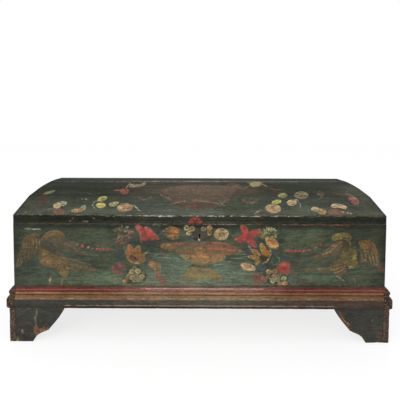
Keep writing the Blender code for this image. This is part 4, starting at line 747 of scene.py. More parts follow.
RIGHT_GARLAND = ((
    ((28, 15, -10), (44, 68, 42), (250, 227.4)), ((12, 13), (46, 72, 58), (254.8, 226)),
    ((28, 13), (56, 78, 60), (243, 245.6)), ((9, 18), (60, 84, 94), (257, 245)),
    ((24, 26), (72, 74, 78), (248.6, 252.6)), ((27, 28), (72, 82, 86), (262, 267.4)),
    ((19, 20), (66, 80, 80), (274.4, 252)), ((14, 12), (78, 66, 70), (274.6, 256.4)),
    ((22, 20), (62, 84, 68), (276.2, 260)), ((26, 14), (54, 70, 68), (285.6, 257.4)),
    ((28, 15, 10), (52, 50, 52), (281.2, 241)), ((34, 20), (86, 100, 96), (292, 281.4)),
    ((13, 12), (74, 66, 78), (266.8, 246.4)), ((15, 10, 30), (86, 100, 44), (270.8, 248.6)),
    ((12, 16), (54, 82, 58), (286.4, 278.4)),
    (None, (170, 64, 60), (150, 88, 78), (240, 226.2, 242, 224.6, 245.6, 226.2, 247.4, 229, 249, 232,
        251, 234.4, 247, 236.4, 243, 235.8, 241.6, 232, 240.4, 229)),
    (None, (166, 66, 60), (160, 76, 72), (249.6, 235, 251, 231, 255, 229.4, 259.8, 229.4, 261, 232.8,
        257.8, 236.2, 252.6, 237.2)),
    (None, (140, 66, 62), (166, 70, 72), (246, 234.6, 243, 234.6, 239, 236.6, 233.8, 239.6, 239, 242.2,
        244, 242.8, 247.8, 240.4, 249, 238)),
    (None, (172, 92, 92), (166, 62, 74), (247, 240.6, 250, 238.4, 253.2, 239.2, 255.8, 243, 256.4, 247,
        252.6, 246.6, 249.2, 244)),
    (None, (196, 148, 88), (178, 134, 98), (265.4, 239, 268, 237, 271.6, 236.4, 274.8, 238.8, 277.6, 242,
        278.6, 245.6, 276.6, 248.2, 272.6, 248, 269, 245.8, 266.6, 243)),
    (None, (172, 124, 80), (158, 112, 72), (249.2, 247.4, 252.6, 248.8, 256, 249.4, 258.8, 252,
        260.6, 255.6, 257.4, 257, 254, 254.8, 251.8, 251.6)),
    (None, (152, 120, 56), (176, 146, 92), (260.2, 243.4, 263, 243.6, 265.2, 247, 266.8, 250.6,
        265.8, 254.2, 262.4, 254.6, 260.8, 251, 259.8, 247)),
    (None, (184, 116, 56), (170, 94, 50), (264.8, 249.2, 268, 249.8, 269.8, 252, 268.8, 256, 265.6, 256.4,
        264.2, 253)),
    (None, (182, 136, 74), (172, 132, 84), (247.2, 256.6, 251, 255.4, 255.6, 255.8, 257.8, 258, 254, 259.2,
        250.4, 258.2)),
    (None, (160, 132, 80), (134, 106, 68), (255.4, 258, 258.8, 258.4, 261, 261, 258.8, 263.8, 255.8, 265.2,
        255.2, 261.4)),
    (None, (186, 160, 124), (178, 150, 120), (240.6, 264.8, 243, 263, 247.6, 263.4, 252, 264.8,
        255.6, 267.4, 254.8, 270, 251, 270.8, 246, 270.2, 242.2, 268.2)),
    (None, (112, 72, 64), (124, 90, 82), (254.4, 273.2, 258, 273.2, 262, 275.4, 266.2, 277.4, 266.4, 280.8,
        262, 283.6, 258.6, 285.2, 256.4, 288, 253, 287.4, 254.2, 281, 253.4, 277)),
    ((58, 52), (146, 84, 72), (132, 80, 72), (284.4, 268.4)), ((12, 32), (104, 70, 64), (290.8, 268.4)),
), (
    (4, (114, 128, 112), (96, 110, 96), (276.8, 256.2, 279.6, 259, 278, 263, 274.4, 264.8)),
    (4, (104, 118, 104), (96, 110, 96), (272.6, 257.6, 271.6, 261, 273.2, 264.4)),
    ((32, 16, -58), (206, 66, 64), (190, 66, 62), (245.6, 231.6)),
    ((26, 13, 8), (182, 62, 60), (160, 64, 60), (254.4, 232.8)), ((12, 8), (112, 70, 84), (256.2, 230.4)),
    ((18, 20), (172, 60, 72), (245, 237)), ((20, 12, 20), (156, 74, 56), (240.6, 238.8)),
    ((20, 7, 10), (132, 74, 82), (241.2, 241.8)), ((14, 8), (156, 92, 76), (242.4, 226.4)),
    ((20, 9, -70), (148, 58, 68), (250.6, 240.8)), ((9, 8), (150, 60, 48), (255.2, 245)),
    ((19, 18), (140, 60, 44), (249.2, 235.6)),
    (4, (150, 116, 104), (118, 92, 82), (246.6, 224.6, 250, 224.4, 253.4, 224.8)),
    ((13, 10), (186, 138, 108), (270.4, 237.8)), ((14, 10, -40), (150, 82, 58), (271.4, 240.8)),
    ((11, 10), (166, 98, 50), (273.8, 242.2)), ((8, 16, 20), (164, 140, 66), (267, 241.2)),
    ((15, 8), (210, 172, 104), (273.8, 246.8)), ((15, 13), (188, 134, 106), (170, 122, 82), (254.4, 251)),
    ((13, 10, -40), (164, 114, 58), (257.4, 253)),
    ((20, 11, 75), (148, 110, 34), (160, 124, 50), (262.6, 248.2)), ((8, 8), (138, 62, 46), (267.2, 249.8)),
    ((8, 13), (150, 130, 50), (268.2, 254)),
    (6, (160, 154, 118), (150, 138, 104), (269.8, 249, 270.8, 252.8, 269.2, 257.8, 266.4, 261.6,
        262.4, 263.4)),
    ((24, 14), (138, 106, 80), (126, 98, 74), (259, 257)),
    (None, (68, 53, 38), (259.6, 256.4, 263.6, 255.2, 266.8, 256.8, 266, 260.2, 262.8, 262.4,
        259.8, 261.4)),
    ((24, 12, -8), (160, 120, 88), (148, 112, 80), (247, 266.2)), ((9, 13), (116, 80, 52), (250.4, 266.4)),
    ((32, 7, -8), (190, 162, 116), (176, 162, 124), (248, 269.2)),
    (5, (80, 80, 52), (90, 86, 58), (243.6, 271, 250, 272, 256.4, 270.8)),
    ((26, 11, -8), (110, 60, 48), (257.8, 277)), ((15, 11, -20), (152, 94, 92), (262.4, 278.2)),
    ((10, 5), (142, 62, 68), (263, 280.5)), ((20, 12), (122, 86, 64), (259, 281)),
    ((16, 18), (132, 66, 62), (255.2, 286)), ((9, 15), (126, 98, 92), (265.4, 280)),
    ((38, 32), (172, 68, 62), (160, 66, 62), (284, 267.8)), ((28, 12), (178, 104, 84), (283, 264.2)),
    ((24, 8), (164, 90, 80), (285.4, 273.2)), ((8, 8), (80, 62, 40), (271.8, 273.6)),
    ((8, 8), (90, 68, 44), (276.6, 273.4)), ((9, 8), (84, 64, 42), (281.8, 281.4)),
    ((10, 8), (74, 78, 46), (275.6, 282.6)),
), (
    ((12, 5, 25), (168, 116, 106), (235.6, 239.4)),
    (4, (176, 116, 112), (164, 104, 98), (247.2, 241.2, 249.4, 244.6, 252.6, 247)),
    ((14, 12), (64, 46, 24), (76, 60, 30), (249.1, 235.8)),
    (5, (166, 160, 122), (190, 170, 110), (265.8, 241.6, 268, 245.2, 271.4, 247.8)),
    ((7, 15, 10), (192, 148, 114), (277, 243.6)),
    (4.5, (178, 172, 140), (150, 142, 108), (248.2, 246, 250.8, 248.4, 252.4, 251.6, 255, 254.8)),
    ((14, 6, 10), (176, 150, 108), (249.6, 256.6)), ((9, 7, 40), (172, 142, 92), (257, 262.8)),
    ((10, 4, 10), (112, 54, 48), (263.4, 255.4)), (3, (48, 38, 28), (262, 258, 263.6, 259, 264, 260.4)),
    ((12, 9, -10), (206, 172, 142), (242.8, 265.4)), ((9, 8), (176, 172, 138), (253.6, 268.8)),
    ((20, 13), (138, 44, 40), (150, 50, 46), (284.2, 268.4)),
))


# Wear of the front feet, in photograph pixels: bare wood along the scallop, the outer edge and the
# sole, and a crack down the left foot

LEFT_FOOT = ((
    (22, (112, 93, 78), (104, 86, 71), (11.6, 310, 11.8, 318, 12.4, 326, 13, 334, 13.4, 341)),
    (9, (104, 95, 86), (95, 86, 76), (37, 309.6, 36.8, 314, 35.2, 318.4, 36.4, 324, 37, 328)),
    (None, (121, 86, 60), (130, 93, 67), (33.6, 327.4, 36.4, 326.6, 40, 328.4, 44, 327, 48, 327.2,
        50, 329.4, 47.6, 331.4, 42, 332.6, 38.6, 334.2, 36.4, 336.4, 34.8, 334)),
    (6, (104, 84, 67), (91, 78, 65), (51, 327.6, 55, 324, 59, 320, 61.4, 317)),
    (5, (97, 80, 65), (108, 82, 63), (62.6, 314, 63.4, 311.6, 62.4, 308.6)),
    (6, (82, 69, 58), (18, 341.4, 25, 341.6, 33, 341)),
), (
    (9, (143, 112, 89), (130, 99, 78), (11, 311, 11.6, 315, 11.4, 319)),
    ((14, 26), (130, 86, 63), (13.6, 328.6)), ((10, 16), (121, 82, 58), (14.6, 332.6)),
    ((12, 10), (121, 117, 84), (17.6, 337.6)), ((14, 8), (147, 125, 99), (17.2, 340)),
    (4, (48, 45, 41), (15.6, 312, 15.8, 320, 16.4, 329)),
    (3.5, (37, 35, 30), (38.4, 309, 38.2, 315, 37.6, 321, 37.8, 327)),
    ((16, 9, 10), (162, 119, 86), (45.4, 330.6)), ((12, 9), (106, 67, 41), (38.4, 329.6)),
    ((9, 11), (153, 114, 82), (36.4, 333.4)), ((11, 6), (143, 102, 71), (46.6, 328)),
    ((9, 12), (102, 71, 52), (62, 308)),
    (4, (106, 91, 84), (91, 82, 73), (13, 308.6, 20, 308.4, 30, 308.6, 39.6, 308.4)),
), (
    ((8, 9), (190, 179, 153), (13.8, 322.8)), ((6, 6), (143, 106, 82), (15.8, 327)),
    ((7, 13, 10), (168, 162, 140), (22.4, 331.4)), ((9, 12), (127, 114, 99), (35.4, 317.8)),
    ((8, 12), (119, 104, 95), (36.8, 312.8)), ((9, 7), (173, 134, 99), (41, 331)),
    ((7, 7), (76, 50, 35), (38.8, 332)), ((6, 6), (160, 121, 89), (34.6, 330.4)),
    ((20, 3), (143, 127, 117), (28, 308.6)), ((12, 3), (136, 112, 104), (36, 308.4)),
))
RIGHT_FOOT = ((
    (14, (99, 78, 60), (93, 71, 54), (339.6, 312, 341.6, 318, 345.4, 323.4, 349.4, 328.6)),
    (7, (91, 78, 60), (84, 69, 54), (353, 331.6, 357.6, 333.6, 361.4, 336.6, 364.6, 340)),
    (20, (91, 76, 63), (99, 78, 60), (386.8, 322, 386.8, 330, 386, 338)),
    (5, (80, 65, 52), (366.4, 342.4, 374, 342.6, 384, 342.6)),
), (
    (6, (134, 106, 84), (121, 91, 67), (341.8, 317, 344.4, 321.4, 347.6, 325)),
    ((10, 8, -40), (162, 145, 121), (347.8, 323.6)), ((9, 14), (112, 73, 45), (351.6, 328)),
    ((10, 12), (117, 76, 50), (350, 325)), ((10, 16, 10), (91, 58, 39), (342, 314.4)),
    ((12, 6, -30), (99, 73, 54), (358, 334)), ((9, 9), (95, 71, 54), (364.8, 338.4)),
    ((10, 14), (121, 86, 63), (386.6, 325)), ((9, 16), (112, 84, 65), (387, 333)),
    ((22, 12), (104, 69, 48), (381.8, 338.6)), ((10, 10), (125, 82, 54), (379, 341)),
    ((11, 8), (134, 93, 63), (383.4, 341.4)), ((10, 8), (97, 67, 50), (376, 340.6)),
    (5, (99, 78, 63), (387.4, 311, 387.8, 316, 387.4, 321)),
), (
    ((7, 6), (151, 130, 106), (344.6, 321.4)), ((6, 6), (143, 99, 67), (378, 336.4)),
    ((6, 6), (130, 91, 65), (380.6, 333.8)), ((7, 8), (112, 104, 91), (372.6, 320.6)),
))


def brush(face, layers):
    """Rows of brush work laid on a face one after another, each in its own layer."""
    for layer, rows in enumerate(layers):
        for size, *numbers in rows:
            tones = {key: part for key, part in zip(("colour", "tip"), numbers) if len(part) == 3}
            for flat in numbers[len(tones):]:
                spots = face.places(np.reshape(flat, (-1, 2)))
                if size is None:
                    shape(face, layer, spots, **tones)
                elif isinstance(size, tuple):
                    dab(face, layer, spots[0], *size, **tones)
                else:
                    line(face, layer, spots, size, **tones)


def washes(face, rows):
    """Soft patches on the ground, among them painted shadow and painted reflection: place in photograph
    pixels, reach in millimetres, colour, strength.
    """
    for spot, *rest in rows:
        wash(face, face.places([spot])[0], *rest)


def broken_strokes(face, layer, rows):
    """Runs of short broken strokes, one run for each row."""
    for row in rows:
        dashes(face, layer, *row)


def paint_beads(face, beads, bar):
    """A string of beads from a bird's beak, and the red bar at its end with pale dots."""
    spots = face.places(bar)
    line(face, FORMS, spots, 8.5, (142, 60, 62), (136, 66, 60), blunt=True)
    for share in np.linspace(0.06, 0.94, 5):
        spot = smooth(spots)[int(share * 24)]
        dab(face, DETAILS, spot, 9, 6, 0, (160, 92, 88))
        dab(face, LIGHTS, spot + (0.6, 0.6), 5, 3, 0, (172, 116, 108))
    for place, size, colour in beads:
        spot = face.places([place])[0]
        dab(face, FORMS, spot, size[0] + 4, size[1] + 4, size[2], (78, 58, 50))
        dab(face, DETAILS, spot, *size, colour)
        dab(face, LIGHTS, spot + (-1, 1), 5, 4, 0, tuple(tone + 16 for tone in colour))


def dashes(face, layer, start, end, count, length, width, colours, seed):
    """Short broken strokes along the straight line between two photograph pixels, of random place,
    length and colour."""
    rng = np.random.default_rng(seed)
    first, last = face.places([start, end])
    way = (last - first) / np.linalg.norm(last - first)
    for _ in range(count):
        spot = first + rng.uniform(0, 1) * (last - first) + (0, rng.uniform(-0.35, 0.35) * width)
        reach = length * rng.uniform(0.3, 1.0) * way / 2
        line(face, layer, np.array((spot - reach, spot + (0, rng.uniform(-0.6, 0.6)), spot + reach)),
             width * rng.uniform(0.5, 1.0), colours[rng.integers(len(colours))])


def paint_berry(face, spot, size, colour):
    """A pale berry with a dark rim and a shaded eye."""
    place = face.places([spot])[0]
    wide, tall = size
    dab(face, FORMS, place, wide + 5, tall + 5, 0, (78, 68, 44))
    dab(face, DETAILS, place, wide, tall, 20, tuple(1.12 * tone for tone in colour), colour)
    shade = tuple(0.66 * tone for tone in colour)
    dab(face, LIGHTS, place + (0.8, -0.6), 0.42 * wide, 0.38 * tall, 0, shade)


def paint_frill(face, spot, reach, count, colours, seed):
    """A cluster of small dabs, most of them pointing away from its middle."""
    rng = np.random.default_rng(seed)
    for number in range(count):
        angle, share = rng.uniform(0, 2 * math.pi), math.sqrt(rng.uniform(0.02, 1))
        place = face.places([(spot[0] + share * reach[0] * math.cos(angle),
                              spot[1] + share * reach[1] * math.sin(angle))])[0]
        dab(face, DETAILS if number % 2 else LIGHTS, place, rng.uniform(6, 10), rng.uniform(3.6, 5.6),
            -math.degrees(angle) + rng.uniform(-25, 25), colours[rng.integers(len(colours))])


def paint_daisy(face, spot, size, count, tones):
    """A ring of cream petals round a dotted ring, as wide and tall as its size in millimetres."""
    place = face.places([spot])[0]
    for number in range(count):
        angle = 2 * math.pi * number / count
        way = np.array((size[0] / 2 * math.cos(angle), size[1] / 2 * math.sin(angle)))
        turn = math.degrees(math.atan2(way[1], way[0]))
        dab(face, DETAILS, place + 0.82 * way, 13, 9.5, turn, tones[number % 3])
        if number % 2:
            dab(face, LIGHTS, place + 0.42 * way, 6, 5.4, turn, tones[3])
    dab(face, LIGHTS, place + (0, -1), 6, 6, 0, tones[3])


def paint_front(face):
    """The front's ground, darker towards its ends and foot and with a painted shadow under the lid along its
    top, and its birds, garlands, flowers and urn.
    """
    washes(face, FRONT_WASHES_AND_SHADOW)
    # Faint streaks in the middle
    rng = np.random.default_rng(7)
    for number in range(70):
        spot = face.places([(rng.uniform(150, 250), rng.uniform(252, 284))])[0]
        line(face, FORMS, spot + np.array(((-30, 0), (0, rng.uniform(-3, 3)), (30, rng.uniform(-4, 4)))),
             rng.uniform(2, 4), (108, 122, 102) if number % 3 else (86, 98, 80))
    brush(face, LEFT_BIRD)
    brush(face, RIGHT_BIRD)
    paint_beads(face, LEFT_BEADS, LEFT_BAR)
    paint_beads(face, RIGHT_BEADS, RIGHT_BAR)
    brush(face, FRONT_TOUCHES)
    broken_strokes(face, LIGHTS, FRONT_SEAMS_AND_SHADE)
    for motif in (LEFT_GARLAND, TOP_FLOWERS, URN, RIGHT_GARLAND):
        brush(face, motif)
    for spot, reach, count, colours, seed in FRILLS:
        paint_frill(face, spot, reach, count, colours, seed)
    for spot, size, colour in BERRIES:
        paint_berry(face, spot, size, colour)
    paint_daisy(face, (221.4, 234.2), (48, 36), 15,
                ((178, 160, 118), (150, 144, 112), (188, 156, 124), (160, 128, 78)))


# Motifs of the lid, in photograph pixels

LID_BLOOMS = ((
    (None, (91, 58, 51), (84, 56, 50), (38.4, 198, 41, 195.6, 45, 195.4, 48.2, 198, 46.6, 201.4,
        42.6, 202.8, 39.4, 201)),
    (None, (121, 119, 89), (138, 136, 106), (43.4, 194.8, 45.4, 192.4, 49.6, 191.2, 54.8, 190.4,
        52.8, 192.6, 48, 194.2)),
    (None, (201, 179, 136), (212, 194, 151), (53.4, 205.4, 55, 203, 58.4, 202.2, 60.6, 204, 60.2, 206.8,
        57, 208.4, 54, 207.6)),
    (None, (184, 175, 143), (199, 192, 162), (60.6, 203, 63, 201.4, 66.2, 201.8, 66.6, 204, 63.6, 205.8,
        61, 205.4)),
    (None, (127, 82, 71), (147, 97, 84), (53.2, 210.6, 57, 209.2, 62, 209.4, 64.2, 211, 63.4, 213.8,
        58, 214.4, 54, 213)),
    (None, (190, 162, 123), (201, 171, 130), (71, 210.8, 74, 208.8, 78.6, 208.8, 79.4, 210.8, 76, 212.2,
        72, 212)),
    (None, (164, 121, 84), (177, 132, 93), (77.6, 210.6, 79, 208.4, 82, 207, 84, 208.4, 82.6, 211,
        79, 212)),
    (None, (173, 166, 136), (186, 179, 149), (81, 207.4, 83, 205.2, 85.6, 205.8, 85.6, 208.6, 83.6, 210)),
    (None, (186, 184, 112), (201, 199, 134), (97.6, 200.2, 99, 197.6, 102.6, 196.4, 107.2, 196.8,
        105.8, 199.4, 102, 201.4, 99, 201.2)),
    (None, (212, 201, 108), (222, 212, 130), (95.8, 205.6, 97.6, 203.2, 101, 202.6, 104.6, 203.8,
        105.4, 205.6, 103, 207.6, 99, 207.8)),
    (None, (179, 175, 112), (197, 190, 134), (109, 204.8, 110.4, 202.8, 114, 202, 118.4, 202, 118, 204,
        115, 206, 111, 206.4)),
    (None, (179, 143, 104), (190, 156, 117), (117, 207.6, 119, 204.8, 123, 203.2, 128, 203.6, 132, 205.4,
        132.4, 208.4, 129, 210.6, 123, 211.4, 118.4, 210)),
    (None, (138, 78, 67), (147, 86, 76), (120, 190.6, 122, 188.4, 126, 187.8, 128.8, 190.6, 127.6, 193.4,
        123.6, 194.2, 120.8, 192.8)),
    (None, (147, 134, 110), (160, 147, 121), (129, 186.6, 131.6, 184.4, 136, 184.6, 141, 184.4,
        144.4, 182.4, 145.6, 184.4, 142, 186.6, 136, 187.2, 131, 187.6)),
    (None, (112, 86, 73), (230, 187, 234, 184, 240, 186, 241.6, 188.4, 236, 189.6)),
    (None, (162, 151, 112), (177, 166, 127), (250, 183.8, 254, 182.2, 260, 182.6, 262.4, 184.4, 258, 186.8,
        253, 187.2, 250.4, 186)),
    (None, (153, 149, 102), (168, 164, 114), (277.8, 195.8, 280, 193.6, 284.4, 193.2, 287.2, 195.2,
        285, 197.4, 280.4, 197.8)),
    (None, (186, 188, 99), (201, 203, 117), (271.8, 202.6, 274, 200.4, 278.4, 199.6, 281.4, 200.8,
        279.6, 203, 275, 203.8)),
    (None, (192, 173, 127), (203, 186, 140), (286.8, 202.8, 288.8, 200.4, 292.6, 199.6, 296.4, 201,
        296.4, 204, 292.8, 205.6, 288.6, 205)),
    (None, (138, 130, 99), (153, 143, 110), (294, 195.4, 296.6, 192.6, 301, 191.4, 306, 192.6, 308.4, 195,
        306, 197.8, 301, 198.8, 296.4, 197.8)),
    ((18, 36), (112, 91, 67), (319.6, 194.6)),
    (None, (149, 95, 86), (158, 104, 95), (348.4, 196.4, 353, 197, 358.6, 201, 358.4, 204.6, 354, 204,
        349.6, 200.6)),
    (None, (201, 175, 136), (214, 194, 158), (331.2, 206, 333.2, 203.6, 338, 203.6, 342, 204.8,
        346.6, 206.6, 345.4, 209.2, 339.6, 207.8, 333, 207.6)),
    (None, (123, 86, 76), (136, 97, 84), (328.4, 210.4, 333, 208.8, 340, 210, 346, 213, 342, 215,
        332, 214.6, 328.6, 213)),
    (None, (181, 162, 119), (194, 175, 130), (311.2, 208.6, 313.6, 206.8, 317, 207.4, 319.6, 209.4,
        319, 211.2, 314.6, 211.4, 312, 210.4)),
    (None, (171, 136, 91), (186, 156, 108), (317.8, 209.6, 321, 208.4, 325.6, 209.6, 326, 212.4,
        323.4, 214.6, 319.4, 213.4, 317.4, 211.6)),
    (None, (186, 160, 121), (197, 171, 132), (265.2, 208.4, 267.4, 205.4, 272, 204.2, 277, 204.8,
        280.4, 207.4, 280.2, 210.6, 276.6, 212.8, 271, 212.8, 267.6, 210.8)),
), (
    ((16, 20), (71, 48, 43), (43.4, 199.4)), ((9, 12), (151, 127, 91), (57.4, 205.4)),
    ((8, 10), (145, 134, 104), (63.6, 203.4)),
    (8, (151, 151, 132), (130, 127, 108), (47.4, 209.8, 50, 209, 53.4, 209)),
    ((12, 12), (104, 65, 58), (59, 211.8)), (6, (130, 125, 104), (76.6, 199.2, 78.6, 199.8, 80, 199.4)),
    (8, (117, 117, 86), (104, 104, 78), (87.4, 192.8, 93, 194.4, 99.4, 192.8)),
    ((14, 10, 10), (151, 149, 84), (101.6, 199.2)),
    (5, (181, 181, 162), (160, 160, 140), (98.4, 201, 95, 201.8, 92.8, 204.2, 93, 206.6, 94.8, 208)),
    ((15, 11), (179, 162, 91), (101, 205)), ((9, 9), (127, 125, 76), (112.4, 204.4)),
    ((8, 8), (138, 134, 84), (116, 203.6)), ((18, 22), (201, 175, 132), (119.4, 207.4)),
    ((20, 14), (203, 179, 136), (124.6, 210)), ((18, 20), (168, 114, 84), (129.4, 206.8)),
    ((14, 12), (162, 121, 91), (124.4, 206.6)),
    (5, (205, 201, 175), (181, 177, 153), (131.6, 205.4, 134.6, 206, 136.8, 208.2, 140, 210.8)),
    (17, (104, 82, 74), (116, 92, 84), (138.6, 196.4, 141, 199.2, 144.6, 199.8, 148.4, 198.6,
        151.4, 195.8)),
    (11, (153, 112, 99), (145, 95, 84), (114.6, 190.8, 118, 190, 121.6, 190.6)),
    (9, (171, 158, 130), (151, 138, 112), (126.4, 187.8, 129.4, 184.8, 133.6, 186, 139, 186.6, 144, 185,
        145.6, 182)),
    (7, (151, 138, 114), (128.8, 182.4, 130.4, 184, 129, 186)),
    (8, (151, 143, 130), (136, 127, 117), (152.4, 181.6, 158, 180.8, 163.4, 181.2)),
    (9, (112, 99, 86), (104, 91, 78), (152.6, 184.4, 158, 183.6, 163.6, 184.6)),
    (11, (127, 114, 93), (117, 102, 82), (160, 194.2, 165, 197.4, 169.6, 200.2)),
    (14, (146, 122, 110), (134, 110, 100), (170, 204, 178, 202.2, 190, 200.8, 203, 201, 214, 202.8,
        224, 205.6)),
    (15, (138, 68, 66), (112, 68, 62), (191, 205.4, 196, 205.2, 201, 205.6)),
    (26, (96, 72, 66), (104, 78, 70), (177, 195, 183, 196, 188, 195.4)),
    (6, (138, 125, 104), (121, 108, 89), (218, 199.4, 220.6, 202, 222.6, 205)),
    (5, (130, 119, 97), (225.4, 200.6, 223, 203.4, 220, 205.2)),
    (9, (143, 121, 99), (121, 99, 82), (226.6, 182, 231, 181.8, 235, 183)),
    (9, (134, 112, 93), (119, 95, 80), (226.4, 186.2, 230, 184.4, 233, 183.4)),
    (9, (136, 110, 93), (121, 95, 80), (229.4, 188.6, 235, 186.4, 239, 184.8)),
    (7, (160, 149, 112), (147, 136, 102), (244.6, 181.4, 249, 183.2, 252.6, 186.6)),
    (6, (140, 132, 99), (160, 149, 117), (243, 189.2, 248, 186.6, 252.4, 184.8)),
    ((16, 9), (134, 121, 86), (255.6, 184.8)),
    (7, (190, 179, 138), (171, 160, 121), (258.4, 184, 263, 185, 267.2, 187.2)),
    (9, (127, 97, 84), (117, 89, 76), (269.6, 188, 276, 189.8, 285.8, 189.6)),
    (8, (119, 86, 73), (106, 78, 67), (273.6, 191.2, 277, 192, 280.6, 192.6)),
    ((16, 12), (121, 121, 76), (282.6, 195.6)), (7, (127, 127, 108), (248, 192, 250, 192.4, 253, 192.2)),
    (14, (122, 98, 90), (112, 90, 82), (242.4, 199.2, 245.4, 201.8, 250.4, 203, 255, 201.6, 257.8, 198.8)),
    ((16, 9, 8), (162, 164, 80), (276.8, 201.8)), ((18, 16), (143, 104, 65), (292, 202.6)),
    ((10, 10, 30), (190, 177, 143), (296.4, 199.8)),
    (5, (136, 140, 123), (156, 158, 140), (296.4, 199.2, 299.4, 202.6, 300.6, 207.2)),
    ((40, 34), (106, 99, 78), (301.2, 195.2)),
    (6, (149, 136, 102), (134, 121, 89), (319, 191.6, 322.6, 193, 322.8, 195.8, 320, 198)),
    (9, (130, 86, 76), (121, 82, 73), (332.8, 192.8, 339, 194, 346.4, 196.4)),
    (9, (156, 143, 112), (145, 127, 102), (345.6, 193.8, 351, 195.4, 357, 199)),
    ((16, 9, -6), (181, 143, 114), (339.4, 206)), ((10, 8), (222, 210, 179), (343.8, 206.8)),
    ((10, 10, -30), (143, 108, 67), (315.4, 209.4)), ((12, 11), (201, 179, 132), (321, 210.2)),
    ((10, 9), (140, 104, 65), (322.6, 212.2)), ((18, 16), (158, 106, 86), (272.4, 207.8)),
    ((16, 18, 20), (205, 186, 145), (268, 207.6)), ((22, 9), (201, 168, 121), (274.4, 211.6)),
    ((12, 16), (153, 121, 89), (278.2, 208.8)),
    (6, (158, 151, 127), (140, 136, 114), (254.6, 213.6, 259.6, 210.6, 264.4, 208.4)),
), (
    ((8, 12, 30), (222, 214, 177), (61.6, 201.8)), ((7, 9), (190, 186, 171), (25.4, 212.2)),
    ((8, 8), (203, 199, 173), (82, 199.3), (86.2, 199.2)),
    (4, (212, 188, 147), (120, 204.6, 124, 203.8, 128, 204.2)),
    (5, (146, 122, 112), (124, 102, 92), (141, 199.4, 145.4, 199.4, 149.2, 197.4)),
    ((8, 10), (171, 127, 108), (124, 190)), ((7, 9), (162, 158, 140), (180, 192.4)),
    (5, (166, 158, 140), (146, 138, 120), (160.8, 194.6, 163, 196.6, 164.2, 197)),
    (5, (160, 150, 132), (138, 130, 112), (164.4, 195.4, 166.4, 197.6, 168, 198.2)),
    (5, (156, 144, 128), (134, 124, 108), (168.4, 197.4, 169.6, 199, 171.4, 200.4)),
    (5, (148, 128, 118), (128, 108, 98), (246, 202, 251, 203, 255.4, 201.4)),
    ((8, 7), (197, 179, 134), (292, 202.4)), ((30, 24), (173, 145, 121), (301.2, 195.2)),
    ((12, 12), (99, 54, 45), (301.4, 195)), ((12, 8, -30), (179, 121, 112), (353.6, 201)),
    ((8, 8), (212, 205, 173), (343, 212)), ((8, 8), (205, 199, 166), (347.6, 212.8)),
    ((7, 8), (201, 194, 162), (351, 213.4)), ((10, 6), (130, 82, 67), (272, 208)),
))
# Soft patches of the lid's ground: the pale band near the crown's top and the pale bands along the front
# stave are painted reflection of the bright room on the staves; the others change the paint's tone
LID_WASHES_AND_REFLECTION = (
    ((80, 182), (330, 90), (34, 38, 29), 0.85), ((325, 182), (330, 90), (40, 44, 34), 0.8),
    ((200, 191), (230, 80), (98, 86, 72), 0.9), ((200, 180), (270, 60), (84, 80, 70), 0.6),
    ((152, 188), (60, 60), (78, 74, 62), 0.6), ((244, 190), (60, 50), (88, 80, 68), 0.6),
    ((70, 179), (200, 60), (20, 22, 18), 0.85), ((345, 179), (160, 60), (20, 22, 18), 0.8),
    ((220, 178.8), (460, 70), (100, 98, 92), 0.7), ((367, 190), (110, 70), (100, 96, 84), 0.7),
    ((205, 205), (1400, 60), (78, 84, 74), 0.7), ((200, 212), (1600, 26), (90, 94, 82), 0.7),
    ((300, 200), (120, 40), (66, 68, 64), 0.6), ((362, 194), (130, 90), (76, 78, 66), 0.7),
    ((240, 206), (90, 60), (58, 66, 52), 0.6), ((140, 204), (90, 60), (66, 76, 70), 0.6),
    ((30, 208), (90, 60), (72, 70, 62), 0.5),
)
# Broken strokes along the staves' seams, and pale ones along the lid's front arris, at 214, which are painted
# highlight as well as worn paint
LID_SEAMS_AND_HIGHLIGHT = (
    ((100, 182.6), (330, 182.4), 50, 60, 6, ((118, 116, 102), (100, 100, 88), (140, 136, 122)), 22),
    ((50, 192.2), (350, 192.2), 60, 70, 4, ((78, 80, 68), (62, 60, 52), (92, 88, 76)), 24),
    ((20, 214), (382, 214.4), 120, 50, 5, ((92, 92, 80), (80, 80, 70), (106, 102, 90)), 25),
    ((170, 213.8), (240, 213.8), 26, 50, 5, ((116, 112, 100), (100, 98, 88)), 26),
)
# Broken pale strokes near the crown's top: the wide rows make a painted reflection of the room on the crown,
# the last rows a worn line along it
CROWN_SHEEN_AND_SEAMS = (
    ((120, 179.7), (310, 179.7), 260, 46, 12, ((106, 102, 96), (118, 114, 106), (96, 94, 88)), 20),
    ((130, 180.4), (300, 180.4), 220, 40, 10, ((104, 102, 94), (116, 112, 104), (94, 92, 86)), 34),
    ((58, 182), (350, 181.8), 420, 30, 9, ((112, 112, 102), (128, 126, 116), (94, 94, 86)), 21),
    ((120, 181.9), (230, 181.7), 100, 26, 9, ((196, 192, 180), (170, 166, 154)), 23),
)
# Broken strokes on the lid's front edge: the pale and near-white ones along its top arris are painted
# highlight as well as worn paint; the dark ones lie lower on the edge
LID_EDGE_WEAR_AND_HIGHLIGHT = (
    ((104, 215.6), (384, 216.2), 130, 40, 4.5, ((118, 116, 104), (96, 94, 84), (136, 132, 118)), 27),
    ((130, 215.5), (300, 215.6), 120, 40, 6, ((186, 182, 168), (160, 156, 142), (202, 198, 184)), 28),
    ((142, 215.2), (262, 215.3), 90, 34, 7, ((236, 232, 220), (210, 206, 192), (190, 186, 172)), 32),
    ((120, 216.6), (384, 217.2), 70, 40, 3, ((84, 76, 66), (70, 66, 56)), 29),
    ((20, 222.6), (384, 223.4), 60, 34, 3, ((72, 66, 56), (88, 74, 62)), 30),
)
BASKET = ((162, 189.6), (172, 187), (186, 185.6), (203, 185), (222, 186), (234, 187.4), (237, 190),
          (231, 196), (226, 203), (203, 200), (178, 203), (167, 197.6))
BASKET_FOOT = ((172, 204.2), (184, 202), (196, 201.2), (210, 202.4), (223, 205.2), (213, 207.8), (196, 208.4),
               (182, 207.2))


